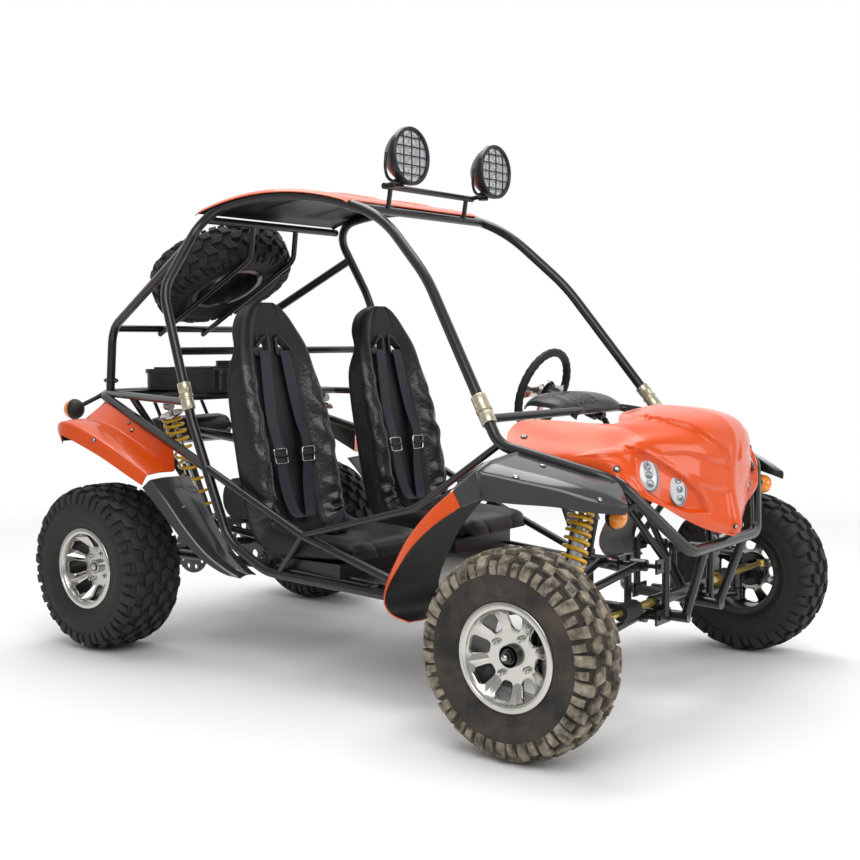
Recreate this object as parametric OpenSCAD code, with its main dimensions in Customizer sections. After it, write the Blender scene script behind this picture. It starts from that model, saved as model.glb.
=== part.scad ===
// Two-seat off-road buggy kart with a tubular roll cage.
// Lengths are in millimetres. x points forward, y to the left, z up, from the ground.
// Stations along x are written from the middle of the wheelbase, and placed() moves them to the centre.

/* [Chassis] */
// Distance between the front and the rear axle
wheelbase = 1844; // [1740:2:1900]
// Outside diameter of the main cage tube
tube_d = 32; // [28:0.5:36]
// Outside diameter of the lighter frame tube
brace_d = 26; // [20:0.5:30]
// Outside diameter of the rack and guard tube
rack_d = 20; // [14:0.5:24]
// Gap left between two tubes at a weld
weld_gap = 0.2; // [0.1:0.05:0.4]
// Half width of the cage at the roof rails
roof_half_w = 335; // [300:1:360]
// Half width of the cage at the seats
cabin_half_w = 535; // [520:1:545]
// Height of the roof rail's highest point
roof_rail_z = 1544; // [1500:1:1600]
// Radius of the roof rail's arch
roof_r = 1200; // [1000:10:1400]
// Outside diameter of the threaded cage sleeves
sleeve_d = 43; // [39:0.5:48]
// Length of the threaded cage sleeves
sleeve_len = 92; // [60:1:110]

/* [Wheels] */
// Distance between the front tyres' centres
front_track = 1420; // [1400:2:1480]
// Distance between the rear tyres' centres
rear_track = 1090; // [1070:2:1140]
// Outside diameter of the front tyre over its lugs
front_tyre_d = 540; // [500:2:556]
// Width of the front tyre
front_tyre_w = 165; // [150:1:176]
// Outside diameter of the rear tyre over its lugs
rear_tyre_d = 576; // [540:2:590]
// Width of the rear tyre
rear_tyre_w = 230; // [200:1:250]
// Height of a tyre's lugs
lug_h = 13; // [8:0.5:16]
// Outside diameter of the rim's flange
rim_d = 282; // [276:1:290]
// Number of slots in a rim's face
rim_slots = 8; // [6:1:9]
// Diameter of the rear axle
axle_d = 32; // [28:0.5:38]

/* [Steering] */
// Distance of the kingpin from the middle
kingpin_y = 620; // [612:1:626]
// Length of the steering arm ahead of the kingpin
steer_arm = 90; // [80:1:96]
// Diameter of the steering wheel
wheel_d = 300; // [260:1:330]
// Slope of the steering column
column_tilt = 20; // [16:1:26]
// Diameter of the steering shafts
shaft_d = 20; // [16:0.5:24]

/* [Body panels] */
// Thickness of the plastic panels
panel_t = 4; // [3:0.25:6]
// Thickness of the floor sheet
floor_t = 3; // [2:0.5:5]
// Depth of the seat's padding
seat_t = 62; // [50:1:70]
// Half width of a seat at its bolsters
seat_half_w = 196; // [180:1:198]

/* [Lamps] */
// Diameter of a roof spotlight's housing
spot_d = 180; // [150:2:200]
// Depth of a roof spotlight's housing
spot_depth = 90; // [70:1:110]
// Width of a headlamp's lens
lamp_d = 60; // [50:1:66]
// Distance between the two round ends of a headlamp's lens
lamp_span = 46; // [30:1:54]
// Diameter of a turn signal's ball
signal_d = 75; // [60:1:84]

/* [Springs] */
// Outside diameter of a coil spring
coil_d = 74; // [66:1:80]
// Diameter of the spring wire
wire_d = 10; // [7:0.5:11]
// Turns in a coil spring
coil_turns = 8; // [6:1:9]

/* [Hidden] */
$fn = 48;

// Colours of the finishes
paint_black = [0.05, 0.05, 0.055];
paint_orange = [0.93, 0.29, 0.09];
plastic_grey = [0.2, 0.2, 0.21];
rubber_black = [0.07, 0.07, 0.07];
machined = [0.75, 0.75, 0.73];
zinc = [0.72, 0.64, 0.4];
spring_yellow = [0.95, 0.72, 0.08];
amber = [0.95, 0.5, 0.05];

// Running clearances
seat_gap = 0.3;
pin_gap = 0.3;
run_gap = 5;
// A bent stretch is drawn a little thinner than the straight runs that lap its ends
bend_thin = 0.4;
bend_lap = 1.5;

axle_x = wheelbase / 2;
front_r = front_tyre_d / 2;
rear_r = rear_tyre_d / 2;
nose_x = axle_x + 278;
signal_x = -axle_x - 330;
x_mid = (nose_x + signal_x) / 2;

// Geometry helpers
function unit(v) = v / norm(v);
function turn_angle(a, b) = acos(max(-1, min(1, unit(a) * unit(b))));
function setback(p, q, s, r) = r * tan(turn_angle(q - p, s - q) / 2);
function flip(p) = [p[0], -p[1], p[2]];
function mix(p, q, t) = p + (q - p) * t;
function reversed(list) = [for (i = [len(list) - 1:-1:0]) list[i]];

module placed() {
    translate([-x_mid, 0, 0]) children();
}

module both_sides() {
    children();
    mirror([0, 1, 0]) children();
}

// Puts its child's z axis along z, with its x axis as near to x as it can be.
module frame_at(o, z, x) {
    w = unit(z);
    y = unit(cross(w, x));
    u = cross(y, w);
    multmatrix([[u[0], y[0], w[0], o[0]],
                [u[1], y[1], w[1], o[1]],
                [u[2], y[2], w[2], o[2]],
                [0, 0, 0, 1]]) children();
}

module rod(a, b, d) {
    side = abs(unit(b - a)[2]) > 0.9 ? [1, 0, 0] : [0, 0, 1];
    frame_at(a, b - a, side) cylinder(h = norm(b - a), d = d);
}

module bend(p, q, s, r, d) {
    into = unit(q - p);
    axis = unit(cross(into, s - q));
    inward = cross(axis, into);
    centre = q - into * setback(p, q, s, r) + inward * r;
    frame_at(centre, axis, -inward)
        rotate_extrude(angle = turn_angle(into, s - q), $fn = 120)
            translate([r, 0]) circle(d = d - bend_thin, $fn = 32);
}

// A tube along points, bent at each inner point to the radius in the same row of radii.
module bent_tube(points, radii, d) {
    last = len(points) - 1;
    cut = [for (i = [0:last])
        i == 0 || i == last ? 0 : setback(points[i - 1], points[i], points[i + 1], radii[i]) - bend_lap];
    for (i = [0:last - 1]) {
        run = unit(points[i + 1] - points[i]);
        rod(points[i] + run * cut[i], points[i + 1] - run * cut[i + 1], d);
    }
    for (i = [1:1:last - 1]) bend(points[i - 1], points[i], points[i + 1], radii[i], d);
}

// Closed sheet over a grid of points: rows of equal length, thickened by wall on the side below.
function grid_normal(g, i, j) =
    let (m = len(g) - 1, n = len(g[0]) - 1,
         a = g[min(i + 1, m)][j] - g[max(i - 1, 0)][j],
         b = g[i][min(j + 1, n)] - g[i][max(j - 1, 0)])
    unit(cross(a, b));

module sheet(g, wall) {
    m = len(g);
    n = len(g[0]);
    outer = [for (i = [0:m - 1]) for (j = [0:n - 1]) g[i][j]];
    inner = [for (i = [0:m - 1]) for (j = [0:n - 1]) g[i][j] - grid_normal(g, i, j) * wall];
    k = m * n;
    quads = [for (i = [0:m - 2]) for (j = [0:n - 2])
        let (a = i * n + j)
        [a, a + 1, a + n + 1, a + n]];
    rim = concat([for (j = [0:n - 1]) j],
                 [for (i = [1:m - 1]) i * n + n - 1],
                 [for (j = [n - 2:-1:0]) (m - 1) * n + j],
                 [for (i = [m - 2:-1:1]) i * n]);
    faces = concat(
        [for (q = quads) each [[q[0], q[2], q[1]], [q[0], q[3], q[2]]]],
        [for (q = quads) each [[k + q[0], k + q[1], k + q[2]], [k + q[0], k + q[2], k + q[3]]]],
        [for (t = [0:len(rim) - 1])
            let (a = rim[t], b = rim[(t + 1) % len(rim)])
            each [[a, b, k + b], [a, k + b, k + a]]]);
    polyhedron(points = concat(outer, inner), faces = [for (f = faces) reversed(f)]);
}

// Cage: one rail a side, from the rear sleeve over the roof to the front sleeve
roof_cx = -axle_x + 618;
roof_cz = roof_rail_z - roof_r;
roof_rear_a = -9.6;
roof_front_a = 17.7;
roof_half_a = (roof_front_a - roof_rear_a) / 2;
roof_mid_a = (roof_front_a + roof_rear_a) / 2;
function roof_point(a, r) = [roof_cx + r * sin(a), roof_half_w, roof_cz + r * cos(a)];
pillar_lead = 110;
screen_lead = 122;
cage_rear_foot = [-axle_x + 422, cabin_half_w, 888];
cage_rear_bend = [-axle_x + 313, cabin_half_w - 5, 1243];
cage_roof_rear = roof_point(roof_rear_a, roof_r) - pillar_lead * [cos(roof_rear_a), 0, -sin(roof_rear_a)];
cage_roof_apex = roof_point(roof_mid_a, roof_r / cos(roof_half_a));
cage_roof_front = roof_point(roof_front_a, roof_r) + screen_lead * [cos(roof_front_a), 0, -sin(roof_front_a)];
cage_screen_bend = [axle_x - 527, 392, 1246];
cage_front_foot = [axle_x - 259, 488, 867];
cage_points = [cage_rear_foot, cage_rear_bend, cage_roof_rear, cage_roof_apex, cage_roof_front,
               cage_screen_bend, cage_front_foot];
cage_radii = [0, 150, 120, roof_r, 450, 600, 0];
cage_rear_dir = unit(cage_rear_bend - cage_rear_foot);
cage_front_dir = unit(cage_front_foot - cage_screen_bend);

module cage_rail(grow = 0) {
    bent_tube(cage_points, cage_radii, tube_d + 2 * grow);
}

// Front loop: from the front sleeves forward over the wheels and down to the bumper
loop_knee = cage_front_foot + 115 * cage_front_dir;
loop_turn = [axle_x + 136, 450, 689];
bumper_corner = [axle_x + 235, 222, 480];
loop_start = cage_front_foot + weld_gap * 2 * cage_front_dir;
loop_points = [loop_start, loop_knee, loop_turn, bumper_corner,
               flip(bumper_corner), flip(loop_turn), flip(loop_knee), flip(loop_start)];
loop_radii = [0, 90, 110, 80, 80, 110, 90, 0];

module loop_tube(grow = 0) {
    bent_tube(loop_points, loop_radii, tube_d + 2 * grow);
}

// Sill: from the rear sleeve down, forward under the door and in to the front rails
sill_neck = cage_rear_foot - 80 * cage_rear_dir;
sill_foot = [-axle_x + 597, cabin_half_w - 10, 425];
sill_rear = [-axle_x + 740, 500, 333];
sill_front = [axle_x - 322, 440, 283];
rail_rear = [axle_x - 162, 140, 285];
rail_front = [axle_x + 178, 110, 275];
sill_start = cage_rear_foot - weld_gap * 2 * cage_rear_dir;
sill_points = [sill_start, sill_neck, sill_foot, sill_rear, sill_front, rail_rear, rail_front];
sill_radii = [0, 500, 140, 140, 150, 120, 0];

module sill_tube(grow = 0) {
    bent_tube(sill_points, sill_radii, tube_d + 2 * grow);
}

// Rear loop: from the pillars back and round behind the engine
loop_joint = mix(sill_neck, sill_foot, 0.4);
rear_corner = [-axle_x - 258, 355, 882];
rear_loop_points = [loop_joint, rear_corner, flip(rear_corner), flip(loop_joint)];

module rear_loop_tube(grow = 0) {
    bent_tube(rear_loop_points, [0, 70, 70, 0], tube_d + 2 * grow);
}

// Rear stays: from the pillar tops back and down to the rear loop
stay_top = mix(cage_rear_bend, cage_roof_rear, 0.55);
stay_bend = [-axle_x - 194, 341, 1123];
stay_foot = [-axle_x - 218, 341, 882];

module stay_tube(grow = 0) {
    bent_tube([stay_top, stay_bend, stay_foot], [0, 100, 0], tube_d + 2 * grow);
}

module welded_frame(grow) {
    both_sides() {
        cage_rail(grow);
        sill_tube(grow);
    }
    loop_tube(grow);
}

module cage_sides() {
    color(paint_black) placed() both_sides() cage_rail();
}

module front_loop() {
    color(paint_black) placed() loop_tube();
}

module sills() {
    color(paint_black) placed() both_sides() sill_tube();
}

module rear_loop() {
    color(paint_black) placed()
        difference() {
            rear_loop_tube();
            both_sides() sill_tube(weld_gap);
        }
}

module rear_stays() {
    color(paint_black) placed()
        both_sides() difference() {
            stay_tube();
            cage_rail(weld_gap);
            rear_loop_tube(weld_gap);
        }
}

// Cross tubes that tie the two sides of the cage
roof_rear_tie = [cage_roof_rear[0] + 8, roof_half_w, cage_roof_rear[2] - 22];
roof_front_tie = roof_point(roof_front_a + 1.5, roof_r);
belt_tie = mix(cage_rear_foot, cage_rear_bend, 0.42);
dash_end = mix(cage_front_foot, loop_knee, 0.62);
dash_knee = [axle_x - 322, 400, 836];

module dash_tube(grow = 0) {
    bent_tube([dash_end, dash_knee, flip(dash_knee), flip(dash_end)], [0, 60, 60, 0], brace_d + 2 * grow);
}

// Middle of each seat, and the steering column in front of the driver's
seat_y = 300;
hub_at = [axle_x - 569, seat_y + 10, 893];
column_dir = [cos(column_tilt), 0, -sin(column_tilt)];
knuckle_joint = hub_at + column_dir * 250;
// Bearing for the column, on a short post from the dash tube
bearing_at = hub_at + column_dir * 205;
column_housing_d = 44;
column_housing_w = 36;

module column_bracket(grow) {
    half = column_housing_w / 2 + grow;
    rod(bearing_at - column_dir * half, bearing_at + column_dir * half, column_housing_d + 2 * grow);
    rod(bearing_at, [dash_knee[0], hub_at[1], dash_knee[2]], rack_d + 2 * grow);
}

module column_bore() {
    rod(hub_at, knuckle_joint, shaft_d + 2 * pin_gap);
}

module cage_cross_tubes() {
    color(paint_black) placed()
        difference() {
            union() {
                for (p = [roof_rear_tie, roof_front_tie, belt_tie]) rod(p, flip(p), brace_d);
                difference() {
                    dash_tube();
                    column_bracket(weld_gap);
                }
                column_bracket(0);
            }
            column_bore();
            both_sides() cage_rail(weld_gap);
            loop_tube(weld_gap);
            cage_sleeve_bodies(weld_gap);
        }
}

// Crossed side braces between the sill, the pillar and the front loop
brace_cross = [-axle_x + 916, 515, 465];
brace_front = mix(sill_rear, sill_front, 0.86);
brace_foot = mix(sill_rear, sill_front, 0.07);
brace_mid = [axle_x - 498, 497, 577];

module long_brace(grow = 0) {
    bent_tube([loop_joint, brace_cross, brace_front], [0, 300, 0], brace_d + 2 * grow);
}

// The shorter brace is a lighter tube in two lengths that meet the long one.
module short_brace(grow = 0) {
    rod(brace_foot, brace_cross, rack_d + 2 * grow);
    bent_tube([brace_cross, brace_mid, loop_knee], [0, 200, 0], rack_d + 2 * grow);
}

module side_braces() {
    color(paint_black) placed() both_sides() difference() {
        union() {
            long_brace();
            difference() {
                short_brace();
                long_brace(weld_gap);
            }
        }
        sill_tube(weld_gap);
        loop_tube(weld_gap);
        rear_loop_tube(weld_gap);
    }
}

// Floor: rails and cross tubes in the sill's own slope
floor_slope = atan2(sill_rear[2] - sill_front[2], sill_front[0] - sill_rear[0]);
floor_len = (sill_front[0] - sill_rear[0]) / cos(floor_slope);
floor_rail_y = 395;

module on_floor() {
    translate([sill_rear[0], 0, sill_rear[2]]) rotate([0, floor_slope, 0]) children();
}

function floor_point(u, y, w = 0) =
    [sill_rear[0] + u * cos(floor_slope) + w * sin(floor_slope), y,
     sill_rear[2] - u * sin(floor_slope) + w * cos(floor_slope)];

floor_ties = [20, floor_len / 2, floor_len - 130];

module floor_tie(u, grow = 0) {
    half = mix(sill_rear[1], sill_front[1], u / floor_len);
    rod(floor_point(u, half), floor_point(u, -half), brace_d + 2 * grow);
}

module floor_frame() {
    color(paint_black) placed() difference() {
        union() {
            for (u = floor_ties) floor_tie(u);
            both_sides() difference() {
                rod(floor_point(floor_ties[0], floor_rail_y), floor_point(floor_ties[2], floor_rail_y),
                    brace_d);
                for (u = floor_ties) floor_tie(u, weld_gap);
            }
        }
        both_sides() sill_tube(weld_gap);
    }
}

pan_half_w = 414;
pan_start = 44;

module floor_pan() {
    color(paint_black) placed() on_floor()
        translate([pan_start, -pan_half_w, brace_d / 2 + seat_gap])
            cube([floor_len - 60 - pan_start, 2 * pan_half_w, floor_t]);
}

// Rear frame: engine cradle, uprights and the rails that carry the tank
cradle_front = floor_point(floor_ties[0], 165);
cradle_rear = [-axle_x + 122, 165, 400];
tank_rail_front = mix(cage_rear_foot, sill_neck, 0.25);
tank_rail_rear = rear_corner + [40, -6, 0];
upright_top = mix(tank_rail_rear, tank_rail_front, 0.32);
tank_ties = [0.12, 0.62];
pivot_at = 0.3;
swing_pivot = mix(cradle_front, cradle_rear, pivot_at);

module tank_rail(grow = 0) {
    rod(tank_rail_rear, tank_rail_front, brace_d + 2 * grow);
}

module cradle_rail(grow = 0) {
    rod(cradle_front, cradle_rear, brace_d + 2 * grow);
}

module rear_frame() {
    color(paint_black) placed() difference() {
        union() {
            both_sides() {
                tank_rail();
                cradle_rail();
                difference() {
                    rod(cradle_rear + [20, 0, 0], upright_top, brace_d);
                    tank_rail(weld_gap);
                    cradle_rail(weld_gap);
                }
            }
            difference() {
                union() {
                    for (t = tank_ties) {
                        p = mix(tank_rail_rear, tank_rail_front, t);
                        rod(p, flip(p), brace_d);
                    }
                    rod(swing_pivot, flip(swing_pivot), brace_d);
                    rod(cradle_rear + [30, 0, 0], flip(cradle_rear) + [30, 0, 0], brace_d);
                    rod(stay_bend, flip(stay_bend), brace_d);
                }
                both_sides() {
                    tank_rail(weld_gap);
                    cradle_rail(weld_gap);
                    stay_tube(weld_gap);
                }
            }
        }
        both_sides() {
            sill_tube(weld_gap);
            cage_rail(weld_gap);
        }
        rear_loop_tube(weld_gap);
        both_sides() stay_tube(weld_gap);
        floor_tie(floor_ties[0], weld_gap);
        cage_sleeve_bodies(weld_gap);
    }
}

// Threaded sleeves that join the cage to the lower frame
module cage_sleeve_bodies(grow = 0) {
    both_sides() {
        rod(cage_rear_foot - cage_rear_dir * sleeve_len / 2, cage_rear_foot + cage_rear_dir * sleeve_len / 2,
            sleeve_d + 2 * grow);
        rod(cage_front_foot - cage_front_dir * sleeve_len / 2,
            cage_front_foot + cage_front_dir * sleeve_len / 2,
            sleeve_d + 2 * grow);
    }
}

module cage_sleeves() {
    color(zinc) placed() difference() {
        cage_sleeve_bodies();
        both_sides() {
            rod(cage_rear_foot - cage_rear_dir * sleeve_len, cage_rear_foot + cage_rear_dir * sleeve_len,
                tube_d + 2 * seat_gap);
            rod(cage_front_foot - cage_front_dir * sleeve_len, cage_front_foot + cage_front_dir * sleeve_len,
                tube_d + 2 * seat_gap);
        }
    }
}

// Front bulkhead: bracket plates on the front rails, towers and the shock crossbar
pivot_y = 188;
upper_pivot_z = 425;
lower_pivot_z = 280;
pivot_pin_d = 14;
plate_t = 6;
plate_x = [axle_x - 122, axle_x + 3, axle_x + 123];
plate_y = [120, pivot_y + 18];
bracket_h = 40;
post_y = 146;
post_d = 22;
tower_top = [axle_x + 8, 470, 722];
tower_y = 330;
shock_top = [axle_x + 8, 385, 686];
shock_ear = [34, 46];

module rail_tube(grow = 0) {
    bent_tube([sill_front, rail_rear, rail_front], [0, 120, 0], tube_d + 2 * grow);
}

module bulkhead_plates() {
    for (x = plate_x) {
        for (z = [lower_pivot_z, upper_pivot_z])
            translate([x - plate_t / 2, plate_y[0], z - bracket_h / 2])
                cube([plate_t, plate_y[1] - plate_y[0], bracket_h]);
        rod([x, post_y, lower_pivot_z], [x, post_y, upper_pivot_z + bracket_h / 2], post_d);
    }
}

module front_bulkhead() {
    crossbar_z = tower_top[2];
    color(paint_black) placed() difference() {
        union() {
            rod(tower_top, flip(tower_top), brace_d);
            both_sides() {
                bulkhead_plates();
                for (z = [upper_pivot_z, lower_pivot_z])
                    rod([plate_x[0] - 10, pivot_y, z], [plate_x[2] + 10, pivot_y, z], pivot_pin_d);
                difference() {
                    for (x = [plate_x[0], plate_x[2]])
                        rod([x, post_y, upper_pivot_z + 8], [tower_top[0], tower_y, crossbar_z], rack_d);
                    rod(tower_top, flip(tower_top), brace_d - 1);
                }
                for (s = [-1, 1])
                    translate(shock_top + [s * shock_ear[0] / 2 - plate_t / 2, -18, -14])
                        cube([plate_t, 36, shock_ear[1]]);
                rod(shock_top - [shock_ear[0] / 2, 0, 0], shock_top + [shock_ear[0] / 2, 0, 0], 12);
                rod(rail_front - [12, 0, 0], bumper_corner - [0, 90, 0], brace_d);
            }
        }
        both_sides() rail_tube(weld_gap);
        loop_tube(weld_gap);
    }
}

// Roof panel: a curved sheet on the two roof rails
roof_seat_r = roof_r + tube_d / 2 + seat_gap;
roof_overhang = 22;
roof_span = [-16, 17.4];

module roof_panel() {
    color(paint_orange) placed()
        translate([roof_cx, 0, roof_cz]) rotate([90, 0, 0]) rotate([0, 0, 90 - roof_span[1]])
            rotate_extrude(angle = roof_span[1] - roof_span[0], $fn = 180)
                translate([roof_seat_r, -roof_half_w - roof_overhang])
                    square([panel_t, 2 * (roof_half_w + roof_overhang)]);
}

// Hood: ribs at stations across the car, each from the rear edge over the top and down the front.
// Columns: half width y, then x from the front axle and height z at eight points along the rib.
hood_ribs = [
    [0,   [8, 861], [86, 855], [162, 845], [225, 823], [256, 769], [258, 640], [278, 531], [262, 500]],
    [110, [-16, 848], [76, 848], [158, 836], [215, 812], [240, 762], [242, 645], [244, 560], [236, 528]],
    [200, [4, 840], [80, 838], [150, 822], [200, 790], [218, 730], [220, 640], [218, 590], [212, 564]],
    [300, [30, 828], [70, 822], [108, 807], [158, 785], [170, 754], [188, 680], [196, 640], [200, 606]],
    [380, [-176, 838], [-22, 802], [58, 778], [118, 752], [138, 728], [156, 696], [165, 668], [170, 644]],
    [430, [-212, 812], [-90, 782], [10, 762], [76, 748], [108, 736], [122, 722], [130, 708], [136, 694]],
];
hood_edge = [for (t = [0.03, 0.25, 0.45, 0.6, 0.72, 0.82, 0.88, 0.93]) mix(loop_knee, loop_turn, t)];
hood_half = concat(
    [for (rib = hood_ribs) [for (c = [1:8]) [axle_x + rib[c][0], rib[0], rib[c][1]]]],
    [hood_edge]);
hood_grid = concat([for (i = [len(hood_half) - 1:-1:1]) [for (p = hood_half[i]) flip(p)]], hood_half);
lamp_places = [[[160, 329, 706], [0.72, 0.52, 0.46]], [[199, 228, 662], [0.9, 0.36, 0.24]]];
lamp_t = 16;
bezel_w = 5;
bezel_h = 4;

module lamp_form(d, h) {
    for (s = [-1, 1]) translate([s * lamp_span / 2, 0, 0]) cylinder(h = h, d = d);
    translate([-lamp_span / 2, -d / 2, 0]) cube([lamp_span, d, h]);
}

module at_lamps() {
    both_sides() for (l = lamp_places)
        frame_at(l[0] + [axle_x, 0, 0] - unit(l[1]) * lamp_t, l[1], [0, 0, 1]) children();
}

module hood() {
    color(paint_orange) placed() difference() {
        sheet(reversed(hood_grid), panel_t);
        at_lamps() lamp_form(lamp_d + 2 * seat_gap, lamp_t * 1.5);
        both_sides() cage_rail(seat_gap);
        loop_tube(seat_gap);
        rod(tower_top, flip(tower_top), brace_d + 2 * seat_gap);
    }
}

module headlamps() {
    color([0.9, 0.9, 0.92]) placed() at_lamps() difference() {
        lamp_form(lamp_d, lamp_t * 1.5);
        translate([0, 0, lamp_t * 1.5 - bezel_h]) lamp_form(lamp_d - 2 * bezel_w, bezel_h + 1);
    }
}

// Arched panels over the wheels. Columns: x from the axle, height z, inner and outer y, lip depth.
front_arch = [
    [205, 632, 494, 525, 20],
    [133, 656, 451, 585, 36],
    [60, 682, 464, 622, 50],
    [-40, 704, 482, 665, 66],
    [-116, 722, 497, 705, 74],
    [-142, 723, 500, 718, 76],
    [-204, 676, 500, 720, 58],
];
// Where the fender's inner edge meets the front loop, as shares of the way from its knee to its turn
front_arch_edge = concat(
    [[axle_x + 190, 494, 640]],
    [for (t = [0.99, 0.77, 0.467, 0.236, 0.164]) mix(loop_knee, loop_turn, t)],
    [[axle_x - 248, 506, 726]]);
guard_arch = [
    [-208, 672, 496, 720, 54],
    [-289, 609, 484, 720, 44],
    [-359, 535, 474, 720, 33],
    [-404, 465, 468, 720, 25],
    [-436, 403, 466, 720, 17],
    [-446, 363, 466, 719, 12],
    [-440, 333, 468, 716, 8],
    [-420, 306, 476, 704, 6],
    [-384, 288, 490, 680, 5],
];
rear_arch = [
    [-240, 716, 470, 560, 24],
    [-226, 768, 440, 586, 40],
    [-176, 794, 420, 600, 50],
    [-78, 776, 410, 604, 54],
    [72, 722, 408, 604, 50],
    [222, 656, 410, 602, 46],
    [280, 628, 416, 600, 42],
];
rear_arch_edge = [for (t = [0.925, 0.912, 0.89, 0.764, 0.568, 0.372, 0.296]) mix(loop_joint, rear_corner, t)];
rear_guard_arch = [
    [296, 611, 416, 600, 42],
    [358, 548, 420, 590, 40],
    [430, 456, 420, 572, 34],
    [500, 376, 416, 546, 26],
    [566, 322, 410, 512, 18],
    [606, 300, 408, 480, 8],
];

// Points of an arched panel: across each station an inner edge, a crown, an outer edge and a lip.
function arch_grid(rows, x0, inner = []) = [for (i = [0:len(rows) - 1])
    let (row = rows[i],
         a = rows[max(i - 1, 0)],
         b = rows[min(i + 1, len(rows) - 1)],
         t = unit([b[0] - a[0], 0, b[1] - a[1]]),
         turn = rows[len(rows) - 1][0] > rows[0][0] ? -1 : 1,
         away = turn * [t[2], 0, -t[0]],
         p = [x0 + row[0], 0, row[1]])
    [len(inner) > 0 ? inner[i] : p + [0, row[2], 0] - away * 6,
     p + [0, mix(row[2], row[3], 0.3), 0],
     p + [0, mix(row[2], row[3], 0.65), 0] + away * 2,
     p + [0, row[3] - 14, 0] - away * 4,
     p + [0, row[3], 0] - away * row[4]]];

// Points of a fender that slopes down from the tube along its inner edge to the crease over its lip.
function sloped_grid(rows, x0, inner) =
    let (flat = arch_grid(rows, x0, inner))
    [for (i = [0:len(rows) - 1])
        let (crease = [x0 + rows[i][0], rows[i][3], rows[i][1]])
        [inner[i], mix(inner[i], crease, 0.35) + [0, 0, 4], mix(inner[i], crease, 0.7) + [0, 0, 6],
         flat[i][3], flat[i][4]]];

module front_fenders() {
    color(plastic_grey) placed() both_sides() difference() {
        sheet(reversed(sloped_grid(front_arch, axle_x, front_arch_edge)), panel_t);
        loop_tube(seat_gap);
        short_brace(seat_gap);
    }
}

guard_stay_d = 12;
front_stay_foot = mix(sill_rear, sill_front, 0.86);
front_stay_end = [axle_x + guard_arch[5][0], guard_arch[5][2] + 60, guard_arch[5][1]];

module front_mudguards() {
    color(paint_orange) placed() both_sides() difference() {
        union() {
            sheet(reversed(arch_grid(guard_arch, axle_x)), panel_t);
            rod(front_stay_foot, front_stay_end, guard_stay_d);
        }
        sill_tube(seat_gap);
        short_brace(seat_gap);
        long_brace(seat_gap);
    }
}

module rear_fenders() {
    color(paint_orange) placed() both_sides() difference() {
        sheet(arch_grid(rear_arch, -axle_x, rear_arch_edge), panel_t);
        rear_loop_tube(seat_gap);
    }
}

guard_stay_foot = mix(sill_neck, sill_foot, 0.85);
guard_stay_end = [-axle_x + 428, 519, 455];

module rear_mudguards() {
    color(plastic_grey) placed() both_sides() difference() {
        union() {
            sheet(arch_grid(rear_guard_arch, -axle_x), panel_t);
            rod(guard_stay_foot, guard_stay_end, guard_stay_d);
        }
        sill_tube(seat_gap);
    }
}

// Seats: a spine of stations from the cushion's front to the top of the back.
// Columns: x from the rear axle, height z, half width as a share of the full one, bolster height.
seat_spine = [
    [1096, 420, 0.9, 8],
    [1060, 446, 0.93, 16],
    [920, 442, 0.96, 30],
    [780, 440, 0.98, 44],
    [716, 470, 0.99, 58],
    [684, 560, 1.0, 74],
    [650, 720, 1.0, 78],
    [612, 900, 0.94, 60],
    [586, 1040, 0.8, 34],
    [572, 1130, 0.62, 16],
    [567, 1176, 0.42, 6],
    [566, 1198, 0.2, 0],
];
seat_section = [[-1, 0.55], [-0.86, 1], [-0.62, 0.25], [-0.25, 0],
                [0.25, 0], [0.62, 0.25], [0.86, 1], [1, 0.55]];
seat_grid = [for (i = [0:len(seat_spine) - 1])
    let (row = seat_spine[i],
         a = seat_spine[max(i - 1, 0)],
         b = seat_spine[min(i + 1, len(seat_spine) - 1)],
         t = unit([b[0] - a[0], 0, b[1] - a[1]]),
         up = [t[2], 0, -t[0]])
    [for (c = seat_section)
        [row[0] - axle_x, c[0] * row[2] * seat_half_w, row[1]] + up * row[3] * c[1]]];

// Slot for a shoulder belt. Columns: distance from the seat's middle, height from the slot's own level.
harness_slot = [[18, -24], [86, -24], [86, -8], [32, 40], [18, 30]];
slot_z = 1046;

module seats() {
    color(rubber_black) placed() for (s = [-1, 1]) translate([0, s * seat_y, 0]) difference() {
        sheet(reversed(seat_grid), seat_t);
        for (hand = [-1, 1]) translate([seat_spine[8][0] - axle_x - 150, 0, slot_z]) rotate([90, 0, 90])
            linear_extrude(300) polygon([for (p = harness_slot) [hand * p[0], p[1]]]);
    }
}

base_top_z = 440 - seat_t - seat_gap;
base_x = [780, 1030];

module seat_base() {
    wall = 12;
    color(paint_black) placed() both_sides() difference() {
        translate([base_x[0] - axle_x, seat_y - 170, 250])
            cube([base_x[1] - base_x[0], 340, base_top_z - 250]);
        translate([base_x[0] - axle_x + wall, seat_y - 170 + wall, 240])
            cube([base_x[1] - base_x[0] - 2 * wall, 340 - 2 * wall, base_top_z]);
        on_floor() translate([-400, -600, -300])
            cube([1400, 1200, 300 + brace_d / 2 + floor_t + 2 * seat_gap]);
    }
}

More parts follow.
